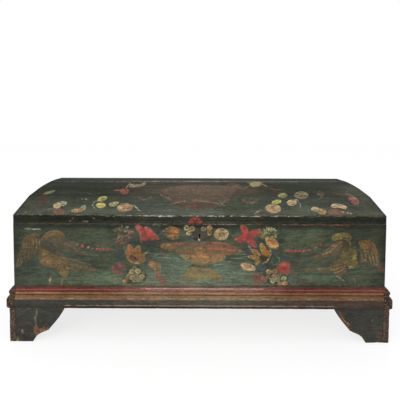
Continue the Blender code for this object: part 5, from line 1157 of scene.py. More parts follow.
def paint_lid(face):
    """The lid's ground, with pale bands of painted reflection and a pale line along its front arris that is
    painted highlight as well as wear, and its scattered flowers, with a faded basket in the middle.
    """
    washes(face, LID_WASHES_AND_REFLECTION)
    # The ground darkens within a few millimetres of the ends
    ends = 0.75 * np.exp((np.abs(face.x) - HALF_WIDTH / MM) / 7)[..., None]
    face.ground += ends * (linear((30, 29, 25)) - face.ground)
    broken_strokes(face, LIGHTS, LID_SEAMS_AND_HIGHLIGHT)
    # Only the crown lies nearly level; its pale strokes near the top are painted reflection as well as a worn
    # line
    if face.rise[2] < 0.1:
        broken_strokes(face, DETAILS, CROWN_SHEEN_AND_SEAMS)
    shape(face, FORMS, face.places(BASKET), (98, 80, 68), (104, 92, 78))
    shape(face, FORMS, face.places(BASKET_FOOT), (90, 66, 58), (98, 74, 64))
    # Leaning withes and four woven rows
    for number in range(26):
        lean, foot = (2.6, 164 + 2.7 * number) if number % 2 else (-2.6, 163 + 2.7 * number)
        spots = ((foot - lean, 186), (foot, 191.4), (foot + lean, 197.6))
        line(face, DETAILS, face.places(spots), 4, (124, 100, 88) if number % 2 else (78, 62, 54),
             (98, 80, 70))
    for rise in (187.2, 190.2, 193.6, 197):
        line(face, DETAILS, face.places(((165, rise), (203, rise - 1.4), (232, rise))), 4, (118, 96, 84),
             (90, 72, 62))
    brush(face, LID_BLOOMS)


def paint_lid_rail(face):
    """The lid's front edge: near-black paint with a red half flower over the lock, chips and rubs, and pale
    strokes along its top arris that are painted highlight as well as wear.
    """
    wash(face, face.places([(200, 220)])[0], (4000, 400), DARK_GROUND, 0.8)
    wash(face, face.places([(205, 220)])[0], (330, 60), (56, 58, 50), 0.8)
    middle = face.places([(195.2, 224.4)])[0]
    petals(face, FORMS, middle, 14, 16, 26, 9, (128, 48, 42), (150, 74, 60))
    dab(face, FORMS, middle, 34, 34, 0, (120, 46, 40))
    petals(face, DETAILS, middle, 9, 17, 12, 3, (156, 88, 70), turn=12)
    dab(face, DETAILS, middle + (0, 6), 16, 8, 0, (88, 40, 36))
    broken_strokes(face, LIGHTS, LID_EDGE_WEAR_AND_HIGHLIGHT)
    for spots in (((68.6, 221.6), (72, 219.4), (73.4, 217.6)), ((83, 221), (86.6, 221.4), (89.4, 220.8)),
                  ((93.4, 218), (94.6, 218.4))):
        line(face, LIGHTS, face.places(spots), 3, (150, 152, 144))


# Surfaces with paint values

class Coat:
    """Paint values at the points of a mesh that is a net of rings: the ground colour, how near a
    worn arris is (from 0 to 1), and the layers of brush work."""

    def __init__(self, edge, ground):
        self.values = {"ground": np.ones(edge.shape + (3,)) * linear(ground),
                       "rub": np.exp(-edge / RUB_REACH), "inner": np.zeros(edge.shape)}
        for layer in LAYER_NAMES:
            self.values[layer + "_gap"] = np.full(edge.shape, FAR)
            self.values[layer + "_colour"] = self.values["ground"].copy()

    def paint(self, own, face):
        """Take over a painted face's values at its own points of every ring."""
        self.values["ground"][:, own] = face.ground
        for number, layer in enumerate(LAYER_NAMES):
            self.values[layer + "_gap"][:, own] = face.gap[number]
            self.values[layer + "_colour"][:, own] = face.colour[number]

    def flat(self):
        """The values with one row for each point, ring after ring."""
        return {name: array.reshape(-1, 3) if array.ndim == 3 else array.ravel()
                for name, array in self.values.items()}


def add_piece(name, points, faces, body, material, values, replaces=()):
    """A finished mesh in the frame on its body, with numbers and colours at its vertices."""
    mesh = bpy.data.meshes.new(name)
    mesh.from_pydata(points.tolist(), [], faces)
    mesh.update()
    for label, array in values.items():
        flat = np.asarray(array, np.float32)
        if flat.ndim == 2:
            colours = np.concatenate((flat, np.ones((len(flat), 1), np.float32)), 1)
            mesh.color_attributes.new(label, "FLOAT_COLOR", "POINT").data.foreach_set(
                "color", colours.ravel())
        else:
            mesh.attributes.new(label, "FLOAT", "POINT").data.foreach_set("value", flat)
    mesh.shade_smooth()
    mesh.set_sharp_from_angle(angle=math.radians(38))
    mesh.materials.append(material)
    piece = new_object(name, mesh)
    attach(piece, body)
    if replaces:
        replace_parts(piece, *replaces)


def ring_faces(rings, around):
    """Faces of a closed tube of rings, its two ends closed by one flat cap each."""
    index = np.arange(rings * around).reshape(rings, around)
    a, b = index[:-1], index[1:]
    quads = np.stack((a, np.roll(a, -1, 1), np.roll(b, -1, 1), b), -1).reshape(-1, 4)
    return quads, [index[0, ::-1].tolist(), index[-1].tolist()]


def outwards(points, quads, caps):
    """All faces, turned round together if the volume that the quads close comes out below zero."""
    a, b, c, d = (points[quads[:, i]] for i in range(4))
    middle = points.mean(0)
    volume = ((np.cross(b - middle, c - middle) + np.cross(c - middle, d - middle))
              * (a - middle)).sum()
    faces = quads.tolist() + caps
    return [face[::-1] for face in faces] if volume < 0 else faces


def ripple(across, along, seed, reach):
    """A smooth uneven surface from 0 to 1: half plus a seventh of each of seven sines, whose
    directions and wave lengths near the reach are unlike."""
    rng = np.random.default_rng(seed)
    total = 0
    for _ in range(7):
        turn, wave, start = rng.uniform(0, math.pi), reach * rng.uniform(0.5, 1.8), rng.uniform(0, 7)
        total = total + np.sin(2 * math.pi * (across * math.cos(turn) + along * math.sin(turn)) / wave
                               + start)
    return np.clip(0.5 + total / 7, 0, 1)


def outline(corners, spacing, ease, soft=(), worn=None):
    """A closed outline whose hard corners are eased to three points each. Gives its points, the
    side that each lies on (-1 on an eased corner), its distance from the nearest worn corner, and
    its normal."""
    corners = np.asarray(corners, float)
    count = len(corners)
    points, sides, hard = [], [], []
    for number in range(count):
        before, corner, after = corners[number - 1], corners[number], corners[(number + 1) % count]
        way_in = (before - corner) / np.linalg.norm(before - corner)
        way_out = (after - corner) / np.linalg.norm(after - corner)
        own_ease = 0 if number in soft else ease
        next_ease = 0 if (number + 1) % count in soft else ease
        if number not in soft:
            points.append((corner + 0.25 * ease * (way_in + way_out))[None])
            sides.append([-1])
            hard.append(corner)
        length = np.linalg.norm(after - corner)
        steps = max(1, int(round((length - own_ease - next_ease) / spacing[number])))
        shares = np.linspace(own_ease / length, 1 - next_ease / length, steps + 1)[:, None]
        if next_ease == 0:
            shares = shares[:-1]
        points.append(corner + shares * (after - corner))
        sides.append([number] * len(shares))
    points, sides = np.concatenate(points), np.concatenate(sides)
    if worn is not None:
        hard = corners[list(worn)]
    edge = np.min([np.hypot(*(points - corner).T) for corner in hard], 0) if len(hard) else 0.1
    edge = np.broadcast_to(edge, len(points))
    tangent = np.roll(points, -1, 0) - np.roll(points, 1, 0)
    normal = np.stack((tangent[:, 1], -tangent[:, 0]), 1)
    normal /= np.linalg.norm(normal, axis=1)[:, None]
    area = (points[:, 0] * np.roll(points[:, 1], -1) - points[:, 1] * np.roll(points[:, 0], -1)).sum()
    return points, sides, edge, normal if area > 0 else -normal


def sweep(node, corners, spacing, painted, grid, ground, body, material,
          half_width=HALF_WIDTH, ease=EASE, wear=0.8 * MM, seed=1, soft=(), worn=None, inner=()):
    """A long piece along X in place of a node: its outline in Y and Z carried from end to end. Its
    arrises are worn in by wear times ripples, which fall off as exp of minus the distance. The
    painted sides are named by the corners that they start from and end at; the inner sides, by the
    corners that they start from, are bare."""
    points, sides, edge, normal = outline(corners, spacing, ease, soft, worn)
    reach = half_width - ease
    stations = np.linspace(-reach, reach, int(round(2 * reach / grid)) + 1)
    stations = np.concatenate(((-half_width, -half_width + 0.3 * ease), stations,
                               (half_width - 0.3 * ease, half_width)))
    inset = np.zeros(len(stations))
    inset[[0, -1]], inset[[1, -2]] = 0.8 * ease, 0.3 * ease
    from_arris = np.minimum(edge[None, :], (half_width - np.abs(stations))[:, None] + 0.3 * MM)
    across = np.broadcast_to(stations[:, None], from_arris.shape)
    bite = (ripple(across, from_arris * 3, seed, 0.09) ** 2
            + 0.6 * ripple(across, from_arris, seed + 1, 0.017) ** 3)
    depth = wear * bite * np.exp(-from_arris / (3 * MM)) + inset[:, None]
    rings = np.zeros(from_arris.shape + (3,))
    rings[..., 0] = across
    rings[..., 1:] = points[None] - depth[..., None] * normal[None]
    coat = Coat(from_arris, ground)
    coat.values["inner"][:, np.isin(sides, inner)] = 1
    for (first, last), paint in painted.items():
        own = np.flatnonzero((sides >= first) & (sides < last))
        foot, head = np.array(corners[first]), np.array(corners[last])
        up = (points[own] - foot) @ (head - foot) / np.linalg.norm(head - foot)
        face = Face(across[:, own], np.broadcast_to(up, (len(stations), len(own))), foot, head, ground)
        paint(face)
        coat.paint(own, face)
    quads, caps = ring_faces(*from_arris.shape)
    flat = rings.reshape(-1, 3)
    add_piece("painted_" + node, flat, outwards(flat, quads, caps), body, material, coat.flat(),
              [node])


# Carcass front: a film of paint over the board, open at the keyhole

def keyhole_gap(x, z):
    """Distance from the keyhole's outline, below zero inside: the lesser of the distances to a disc
    and to an upright slot under it."""
    disc = np.hypot(x, z - KEYHOLE_Z) - KEYHOLE_RADIUS
    p = np.abs(x) - KEYHOLE_SLOT / 2
    q = np.abs(z - KEYHOLE_Z + KEYHOLE_DROP / 2) - KEYHOLE_DROP / 2
    slot = np.hypot(np.maximum(p, 0), np.maximum(q, 0)) + np.minimum(np.maximum(p, q), 0)
    return np.minimum(disc, slot)


def border_loops(kept):
    """The closed borders of a net's kept cells, each a list of (column, row) corners."""
    columns, rows = kept.shape
    ahead = {}
    for i, j in np.argwhere(kept):
        for a, b, di, dj in (((i, j), (i + 1, j), 0, -1), ((i + 1, j), (i + 1, j + 1), 1, 0),
                             ((i + 1, j + 1), (i, j + 1), 0, 1), ((i, j + 1), (i, j), -1, 0)):
            ni, nj = i + di, j + dj
            if not (0 <= ni < columns and 0 <= nj < rows and kept[ni, nj]):
                ahead[a] = b
    loops = []
    while ahead:
        start, spot = next(iter(ahead.items()))
        loop = [start]
        del ahead[start]
        while spot != start:
            loop.append(spot)
            spot = ahead.pop(spot)
        loops.append(loop)
    return sorted(loops, key=len, reverse=True)


def draw_to_keyhole(x, z, hole):
    """Move a hole's border onto the keyhole's outline: six steps back along the slope of the gap,
    each as long as the gap itself."""
    tiny = 0.05 * MM
    for i, j in hole:
        for _ in range(6):
            u, w = x[i, j], z[i, j]
            way = np.array((keyhole_gap(u + tiny, w) - keyhole_gap(u - tiny, w),
                            keyhole_gap(u, w + tiny) - keyhole_gap(u, w - tiny)))
            way /= np.linalg.norm(way) + 1e-9
            gap = keyhole_gap(u, w) - FILM_MARGIN
            x[i, j] -= gap * way[0]
            z[i, j] -= gap * way[1]


def run_of(loop, start, end):
    """The corners of a closed loop from one of them on to another."""
    first = loop.index(start)
    turned_loop = loop[first:] + loop[:first]
    return turned_loop[:turned_loop.index(end) + 1]


def without_unused(points, faces, values):
    """The same mesh without the points that no face uses."""
    used = np.zeros(len(points), bool)
    for face in faces:
        used[face] = True
    number = np.cumsum(used) - 1
    faces = [[int(number[v]) for v in face] for face in faces]
    return points[used], faces, {name: array[used] for name, array in values.items()}


def make_front(material):
    """The painted front: a net of cells over the board, open where the keyhole's gap is below zero
    and drawn to its outline there, a rim, and a back in two halves."""
    half, low, high = HALF_WIDTH - FILM_MARGIN, BASE_TOP + FILM_MARGIN, BODY_TOP - FILM_MARGIN
    columns = 2 * int(round(half / BRUSH_GRID))
    rows = int(round((high - low) / BRUSH_GRID))
    x, z = np.meshgrid(np.linspace(-half, half, columns + 1), np.linspace(low, high, rows + 1),
                       indexing="ij")
    middle_x, middle_z = (x[1:, 1:] + x[:-1, :-1]) / 2, (z[1:, 1:] + z[:-1, :-1]) / 2
    kept = keyhole_gap(middle_x, middle_z) > FILM_MARGIN
    outer, hole = border_loops(kept)[:2]
    draw_to_keyhole(x, z, hole)

    edge = np.minimum(half - np.abs(x) + 2 * MM, np.maximum(keyhole_gap(x, z), 0) * 0.5 + 1.5 * MM)
    face = Face(x, z - BASE_TOP, (FRONT, BASE_TOP), (FRONT, BODY_TOP), GREEN_GROUND)
    paint_front(face)
    coat = Coat(edge, GREEN_GROUND)
    coat.paint(slice(None), face)

    net = np.arange(x.size).reshape(x.shape)
    points = np.stack((x, np.full_like(x, FRONT - FILM_GAP - FILM), z), -1).reshape(-1, 3)
    quads = np.stack((net[:-1, :-1], net[1:, :-1], net[1:, 1:], net[:-1, 1:]), -1)[kept]
    behind, rear = {}, []
    for loop in (outer, hole):
        for spot in loop:
            behind[spot] = len(points) + len(rear)
            rear.append(points[net[spot]] + (0, FILM, 0))
    rim = [[net[b], net[a], behind[a], behind[b]] for loop in (outer, hole)
           for a, b in zip(loop, loop[1:] + loop[:1])]

    centre = columns // 2
    hole_rows = [j for i, j in hole if i == centre]
    top, foot = (centre, rows), (centre, 0)
    hole_top, hole_foot = (centre, max(hole_rows)), (centre, min(hole_rows))
    left = run_of(outer, top, foot) + run_of(hole, hole_foot, hole_top)
    right = run_of(outer, foot, top) + run_of(hole, hole_top, hole_foot)
    halves = [[behind[spot] for spot in loop][::-1] for loop in (left, right)]
    extra = np.array([net[spot] for loop in (outer, hole) for spot in loop])
    values = {name: np.concatenate((array, array[extra])) for name, array in coat.flat().items()}
    faces = quads.tolist() + [[int(v) for v in face] for face in rim + halves]
    points, faces, values = without_unused(np.concatenate((points, np.array(rear))), faces, values)
    add_piece("painted_front", points, faces, "chest", material, values)


# Feet

def curve_to(start, first, second, end, steps):
    """A cubic curve from start to end with two controls."""
    t = np.linspace(0, 1, steps)[:, None]
    return ((1 - t) ** 3 * np.array(start) + 3 * (1 - t) ** 2 * t * np.array(first)
            + 3 * (1 - t) * t ** 2 * np.array(second) + t ** 3 * np.array(end))


def foot_profile(length, tall):
    """Reach and rise of the ogee from sole to rail: a cove under a nick and a lobe over it, one cubic
    each. The lowest point comes twice, for the eased arris of the sole."""
    def spot(share, rise):
        return (length - share * FOOT_CURVE, rise * tall)

    nick = spot(*FOOT_NICK)
    cove = curve_to(spot(1, 0), spot(*FOOT_COVE[1]), spot(*FOOT_COVE[0]), nick, 34)
    lobe = curve_to(nick, spot(*FOOT_LOBE[1]), spot(*FOOT_LOBE[0]), spot(0, 1), 40)
    profile = np.concatenate((cove[:1], cove, lobe[1:]))
    profile[1, 1] = SOLE_EASE
    return profile


def foot_ring(reach, thick, inset):
    """Points of a level ring round a foot, its corners eased to three points each, and the side that
    each lies on: 0 outside, 1 at the ogee, 2 inside, 3 at the corner of the chest, -1 when eased."""
    a0, a1, b0, b1 = inset, reach - inset, inset, thick - inset
    points, sides = [], []
    for number, (start, end, steps, corner, inward) in enumerate((
            ((a0 + EASE, b0), (a1 - EASE, b0), FOOT_LONG_STEPS, (a1, b0), (-1, 1)),
            ((a1, b0 + EASE), (a1, b1 - EASE), FOOT_SHORT_STEPS, (a1, b1), (-1, -1)),
            ((a1 - EASE, b1), (a0 + EASE, b1), FOOT_LONG_STEPS, (a0, b1), (1, -1)),
            ((a0, b1 - EASE), (a0, b0 + EASE), FOOT_SHORT_STEPS, (a0, b0), (1, 1)))):
        shares = np.linspace(0, 1, steps)[:, None]
        points.append(np.array(start) + shares * np.subtract(end, start))
        points.append((np.array(corner) + 0.29 * EASE * np.array(inward))[None])
        sides += [number] * steps + [-1]
    return np.concatenate(points), np.array(sides)


def make_foot(node, material, seed, motif=None, wear=FOOT_WEAR):
    """A bracket foot: level rings, each as long as the ogee lets it be, from its sole to the rail. In
    its own places u goes along it, v through its thickness and w up, and its faces are worn in by
    ripples, which fall off as exp of minus the distance from its edges."""
    low, high = (np.array(corner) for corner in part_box(node))
    size = high - low
    along_x = size[0] > size[1]
    length, thick = (size[0], size[1]) if along_x else (size[1], size[0])
    profile = foot_profile(length, size[2])
    rings = []
    for ring, (reach, rise) in enumerate(profile):
        flat, sides = foot_ring(reach, thick, SOLE_EASE if ring == 0 else 0)
        rings.append(np.column_stack((flat, np.full(len(flat), rise))))
    rings = np.array(rings)
    u, v, w = rings[..., 0], rings[..., 1], rings[..., 2]
    from_curve = np.min(np.hypot(u[..., None] - profile[:, 0], w[..., None] - profile[:, 1]), -1)
    on_face = (sides == 0) | (sides == 2)
    met = FAR * MM if along_x else 0
    to_outline = np.minimum(np.minimum(from_curve, u + met), w)
    edge = np.where(on_face[None, :], to_outline, np.minimum(v, w))
    at_corner = np.minimum(v, np.minimum(from_curve, np.where(v < thick / 2, u + met, FAR * MM)))
    edge = np.where((sides == -1)[None, :], at_corner, edge)
    bite = ripple(u + 3 * v, w, seed, 0.06) ** 2 + 0.8 * ripple(u, w + v, seed + 1, 0.013) ** 3
    depth = wear * bite * np.exp(-edge / (3.5 * MM))
    pull = np.zeros_like(rings)
    pull[..., 1] = np.where(v < thick / 2, 1, -1) * (on_face | (sides == -1))[None, :]
    pull[..., 0] = np.where(sides == 1, -1.0, np.where(sides == 3, 1.0, 0.0))[None, :]
    rings = rings + pull * depth[..., None]

    coat = Coat(edge, FOOT_GROUND)
    coat.values["inner"][:, sides == 2] = 1
    place = np.zeros_like(rings)
    if along_x:
        place[..., 0] = high[0] - rings[..., 0] if low[0] > 0 else low[0] + rings[..., 0]
        place[..., 1] = low[1] + rings[..., 1]
    else:
        place[..., 1] = high[1] - rings[..., 0] if low[1] > 0 else low[1] + rings[..., 0]
        place[..., 0] = high[0] - rings[..., 1] if low[0] > 0 else low[0] + rings[..., 1]
    place[..., 2] = low[2] + rings[..., 2]
    if motif:
        own = np.flatnonzero(sides == 0)
        face = Face(place[:, own, 0], place[:, own, 2], (low[1], 0), (low[1], 1), FOOT_GROUND)
        brush(face, motif)
        coat.paint(own, face)
    quads, caps = ring_faces(len(rings), rings.shape[1])
    flat = place.reshape(-1, 3)
    add_piece("painted_" + node, flat, outwards(flat, quads, caps), "chest", material,
              coat.flat(), [node])


# Shaders

def add_node(tree, kind, sockets=None, **settings):
    """A shader node with its settings; its inputs are linked where a socket is given, or else set."""
    made = tree.nodes.new("ShaderNode" + kind)
    for key, value in settings.items():
        setattr(made, key, value)
    for key, value in (sockets or {}).items():
        if isinstance(value, bpy.types.NodeSocket):
            tree.links.new(value, made.inputs[key])
        else:
            made.inputs[key].default_value = value
    return made


def calc(tree, operation, *values):
    """One operation on numbers, its result held between 0 and 1."""
    return add_node(tree, "Math", dict(enumerate(values)), operation=operation,
                    use_clamp=True).outputs[0]


def free_calc(tree, operation, *values):
    """One operation on numbers, its result as large or small as it comes out."""
    return add_node(tree, "Math", dict(enumerate(values)), operation=operation).outputs[0]


def weighed(tree, first, first_share, second, second_share):
    """Two values added together, each times its share."""
    return free_calc(tree, "ADD", free_calc(tree, "MULTIPLY", first, first_share),
                     free_calc(tree, "MULTIPLY", second, second_share))


def mix(tree, share, under, over, blend="MIX"):
    return add_node(tree, "Mix", {0: share, 6: under, 7: over}, data_type="RGBA",
                    blend_type=blend).outputs[2]


def ramp(tree, value, start, end, low=0.0, high=1.0):
    """A smooth step from low to high while the value goes from start to end."""
    return add_node(tree, "MapRange", {"Value": value, "From Min": start, "From Max": end,
                                       "To Min": low, "To Max": high},
                    interpolation_type="SMOOTHSTEP").outputs[0]


def noise(tree, place, scale, detail=3.0, rough=0.55, twist=0.0):
    """Noise between 0 and 1, its scale in waves per metre along each axis."""
    scaled = add_node(tree, "VectorMath", {0: place, 1: scale}, operation="MULTIPLY").outputs[0]
    return add_node(tree, "TexNoise", {"Vector": scaled, "Scale": 1.0, "Detail": detail,
                                       "Roughness": rough, "Distortion": twist}).outputs[0]


def make_group(name, inputs, outputs, build):
    """A node group; build gets the tree and the inputs by name, and gives the outputs by name."""
    tree = bpy.data.node_groups.new(name, "ShaderNodeTree")
    for label, kind in inputs.items():
        tree.interface.new_socket(name=label, in_out="INPUT", socket_type="NodeSocket" + kind)
    for label, kind in outputs.items():
        tree.interface.new_socket(name=label, in_out="OUTPUT", socket_type="NodeSocket" + kind)
    given, wanted = tree.nodes.new("NodeGroupInput"), tree.nodes.new("NodeGroupOutput")
    for label, socket in build(tree, {s.name: s for s in given.outputs}).items():
        tree.links.new(socket, wanted.inputs[label])
    return tree


def use(tree, group, **inputs):
    return add_node(tree, "Group", inputs, node_tree=group).outputs


def build_streaks(tree, given):
    """Brush streaks along X: broad pulls of the brush, and single hairs."""
    place = given["Place"]
    broad = noise(tree, place, (16.0, 95.0, 95.0), 4.0, 0.65)
    hairs = noise(tree, place, (34.0, 520.0, 520.0), 3.0, 0.6)
    cloud = noise(tree, place, (11.0, 19.0, 19.0), 5.0, 0.65)
    total = free_calc(tree, "MULTIPLY_ADD", broad, 0.45,
                      free_calc(tree, "MULTIPLY_ADD", hairs, 0.3, free_calc(tree, "MULTIPLY", cloud, 0.25)))
    return {"Streak": total, "Hair": hairs}


def build_layer(tree, given):
    """Brush work over what is under it: its edge is ragged by noise, and a dry brush skips."""
    place, gap = given["Place"], given["Gap"]
    ragged = noise(tree, place, (260.0, 560.0, 560.0), 4.0, 0.7)
    edge = free_calc(tree, "MULTIPLY_ADD", free_calc(tree, "SUBTRACT", ragged, 0.5), 6.0, gap)
    inside = ramp(tree, edge, 1.6, -0.5)
    skips = noise(tree, place, (110.0, 480.0, 480.0), 4.0, 0.75)
    worn = noise(tree, place, (40.0, 64.0, 64.0), 5.0, 0.7)
    held = weighed(tree, skips, 0.5, worn, 0.5)
    cover = ramp(tree, held, free_calc(tree, "SUBTRACT", 0.62, given["Cover"]),
                 free_calc(tree, "SUBTRACT", 0.78, given["Cover"]))
    mask = calc(tree, "MULTIPLY", calc(tree, "MULTIPLY", inside, cover), given["Body"])
    shade = free_calc(tree, "MULTIPLY_ADD", skips, 0.5, 0.75)
    paint = mix(tree, 1.0, given["Paint"], shade, "MULTIPLY")
    return {"Colour": mix(tree, mask, given["Under"], paint), "Mask": mask}


def build_crackle(tree, given):
    """Fine cracks: borders of small and large cells, present in patches."""
    place = given["Place"]
    swirl = add_node(tree, "TexNoise", {"Vector": place, "Scale": 120.0, "Detail": 2.0}).outputs[1]
    bent = add_node(tree, "VectorMath", {0: swirl, 1: (0.006,) * 3, 2: place}, operation="MULTIPLY_ADD")
    lines = []
    for scale, width in ((170.0, 0.05), (70.0, 0.028)):
        cell = add_node(tree, "TexVoronoi", {"Vector": bent.outputs[0], "Scale": scale},
                        feature="DISTANCE_TO_EDGE").outputs[0]
        lines.append(ramp(tree, cell, width, 0.0))
    patch = ramp(tree, noise(tree, place, (16.0, 16.0, 16.0), 3.0), 0.42, 0.62)
    return {"Crack": calc(tree, "MULTIPLY", calc(tree, "MAXIMUM", *lines), patch)}


def build_rubbed(tree, given):
    """Where arrises are rubbed bare, and single chips on the faces."""
    place, rub = given["Place"], given["Rub"]
    coarse = noise(tree, place, (38.0, 60.0, 60.0), 5.0, 0.7)
    fine = noise(tree, place, (260.0, 300.0, 300.0), 3.0, 0.6)
    rough = weighed(tree, coarse, 0.7, fine, 0.3)
    near = free_calc(tree, "MULTIPLY", rub, given["Amount"])
    bare = ramp(tree, free_calc(tree, "ADD", near, rough), 0.86, 0.98)
    chips = ramp(tree, noise(tree, place, (120.0, 190.0, 190.0), 3.0, 0.5),
                 free_calc(tree, "SUBTRACT", 0.9, given["Chips"]),
                 free_calc(tree, "SUBTRACT", 0.93, given["Chips"]))
    return {"Bare": bare, "Chips": chips}


def build_wood(tree, given):
    """Bare old wood with its grain along X: bands, fibres and dirt."""
    place = given["Place"]
    bands = noise(tree, place, (1.6, 38.0, 38.0), 4.0, 0.6, 0.4)
    fibres = noise(tree, place, (9.0, 420.0, 420.0), 3.0, 0.6)
    dirt = noise(tree, place, (7.0, 11.0, 11.0), 5.0, 0.65)
    tone = weighed(tree, bands, 0.7, fibres, 0.3)
    wood = mix(tree, ramp(tree, tone, 0.3, 0.7), given["Dark"], given["Light"])
    stained = mix(tree, ramp(tree, dirt, 0.45, 0.75, 0.0, 0.6), wood, given["Dirt"])
    return {"Colour": stained, "Relief": tone}


def build_end_grain(tree, given):
    """End grain that has lost its paint in spots: mottling between two tones, with pale specks."""
    place = given["Place"]
    mottle = noise(tree, place, (90.0, 90.0, 140.0), 5.0, 0.75)
    wood = mix(tree, ramp(tree, mottle, 0.44, 0.62), given["Dark"], given["Light"])
    specks = ramp(tree, noise(tree, place, (210.0, 210.0, 210.0), 3.0, 0.6), 0.6, 0.68)
    return {"Colour": mix(tree, calc(tree, "MULTIPLY", specks, 0.6), wood, rgba((168, 154, 132)))}


def build_grime(tree, given):
    """Age over everything: broad stains, mottling, and dark and pale specks."""
    place = given["Place"]
    broad = noise(tree, place, (5.0, 9.0, 9.0), 5.0, 0.65)
    mottle = noise(tree, place, (75.0, 170.0, 170.0), 5.0, 0.8)
    shade = free_calc(tree, "MULTIPLY_ADD", broad, 0.6,
                      free_calc(tree, "MULTIPLY_ADD", mottle, 1.9, -0.25))
    brown = ramp(tree, noise(tree, place, (13.0, 26.0, 26.0), 4.0, 0.7), 0.48, 0.68, 0.0, 0.5)
    varnished = mix(tree, brown, given["Colour"], mix(tree, 1.0, given["Colour"], (1.25, 0.92, 0.7, 1.0),
                                                      "MULTIPLY"))
    toned = mix(tree, 1.0, varnished, shade, "MULTIPLY")
    specks = ramp(tree, noise(tree, place, (360.0, 420.0, 420.0), 2.0, 0.5), 0.68, 0.76)
    dark = mix(tree, calc(tree, "MULTIPLY", specks, 0.55), toned, (0.012, 0.011, 0.008, 1.0))
    dust = ramp(tree, noise(tree, place, (230.0, 520.0, 520.0), 2.0, 0.5), 0.72, 0.8)
    pale = mix(tree, calc(tree, "MULTIPLY", dust, given["Dust"]), dark, rgba((150, 146, 118)))
    return {"Colour": pale}


COLOUR, VALUE, VECTOR = "Color", "Float", "Vector"
STREAKS = make_group("streaks", {"Place": VECTOR}, {"Streak": VALUE, "Hair": VALUE}, build_streaks)
LAYER = make_group("brush layer", {"Under": COLOUR, "Paint": COLOUR, "Gap": VALUE, "Place": VECTOR,
                                   "Cover": VALUE, "Body": VALUE}, {"Colour": COLOUR, "Mask": VALUE},
                   build_layer)
CRACKLE = make_group("crackle", {"Place": VECTOR}, {"Crack": VALUE}, build_crackle)
RUBBED = make_group("rubbed", {"Place": VECTOR, "Rub": VALUE, "Amount": VALUE, "Chips": VALUE},
                    {"Bare": VALUE, "Chips": VALUE}, build_rubbed)
WOOD = make_group("old wood", {"Place": VECTOR, "Light": COLOUR, "Dark": COLOUR, "Dirt": COLOUR},
                  {"Colour": COLOUR, "Relief": VALUE}, build_wood)
END_GRAIN = make_group("end grain", {"Place": VECTOR, "Light": COLOUR, "Dark": COLOUR}, {"Colour": COLOUR},
                       build_end_grain)
GRIME = make_group("grime", {"Colour": COLOUR, "Place": VECTOR, "Dust": VALUE}, {"Colour": COLOUR},
                   build_grime)


def new_material(name, roughness, specular):
    material = bpy.data.materials.new(name)
    material.use_nodes = True
    tree = material.node_tree
    shader = tree.nodes["Principled BSDF"]
    shader.inputs["Roughness"].default_value = roughness
    shader.inputs["Specular IOR Level"].default_value = specular
    place = add_node(tree, "TexCoord").outputs["Object"]
    return material, tree, shader, place


def turned(tree, place, grain):
    """The place with its axes changed round so that the grain's axis comes first."""
    if grain == "X":
        return place
    split = add_node(tree, "SeparateXYZ", {0: place}).outputs
    order = {"Y": (1, 0, 2), "Z": (2, 1, 0)}[grain]
    return add_node(tree, "CombineXYZ", {axis: split[order[axis]] for axis in range(3)}).outputs[0]


def bump(tree, shader, height, strength=0.4, distance=0.0006):
    made = add_node(tree, "Bump", {"Height": height, "Strength": strength, "Distance": distance})
    tree.links.new(made.outputs[0], shader.inputs["Normal"])


def attribute(tree, name, output="Fac"):
    return add_node(tree, "Attribute", attribute_name=name).outputs[output]


def streaked(tree, colour, streak, low, high):
    """A colour pulled with a brush: times the streak, which goes from low to high."""
    return mix(tree, 1.0, colour, ramp(tree, streak, 0.3, 0.7, low, high), "MULTIPLY")


def inside_wood(tree, place):
    return use(tree, WOOD, Place=place, Light=rgba((150, 118, 84)), Dark=rgba((104, 78, 54)),
               Dirt=rgba(UMBER))["Colour"]


def rubbed_finish(tree, shader, place, colour, rub, amount, chips, dust, bare=(106, 82, 64)):
    """The last touches on paint: chips, rubbed arrises, cracks, grime; then it goes on the shader.
    What comes back is the relief: worn wood and cracks lie lower than paint."""
    worn = use(tree, RUBBED, Place=place, Rub=rub, Amount=amount, Chips=chips)
    wood = use(tree, WOOD, Place=place, Light=rgba(bare), Dark=rgba(tuple(0.62 * c for c in bare)),
               Dirt=rgba(UMBER))
    primed = mix(tree, worn["Chips"], colour, rgba(CHIP_TONE))
    stripped = mix(tree, worn["Bare"], primed, wood["Colour"])
    cracks = use(tree, CRACKLE, Place=place)["Crack"]
    cracked = mix(tree, calc(tree, "MULTIPLY", cracks, CRACK_STRENGTH), stripped, rgba(CRACK_TONE))
    final = use(tree, GRIME, Colour=cracked, Place=place, Dust=dust)["Colour"]
    tree.links.new(final, shader.inputs["Base Color"])
    lowered = free_calc(tree, "ADD", worn["Bare"], calc(tree, "MULTIPLY", cracks, 0.8))
    return free_calc(tree, "MULTIPLY", lowered, -1.0)


def facing(tree, axis):
    """How much a surface faces along an axis: a smooth step while that part of its normal goes from
    0.6 to 0.85."""
    normal = add_node(tree, "NewGeometry").outputs["Normal"]
    part = add_node(tree, "SeparateXYZ", {0: normal}).outputs[axis]
    return ramp(tree, free_calc(tree, "ABSOLUTE", part), 0.6, 0.85)


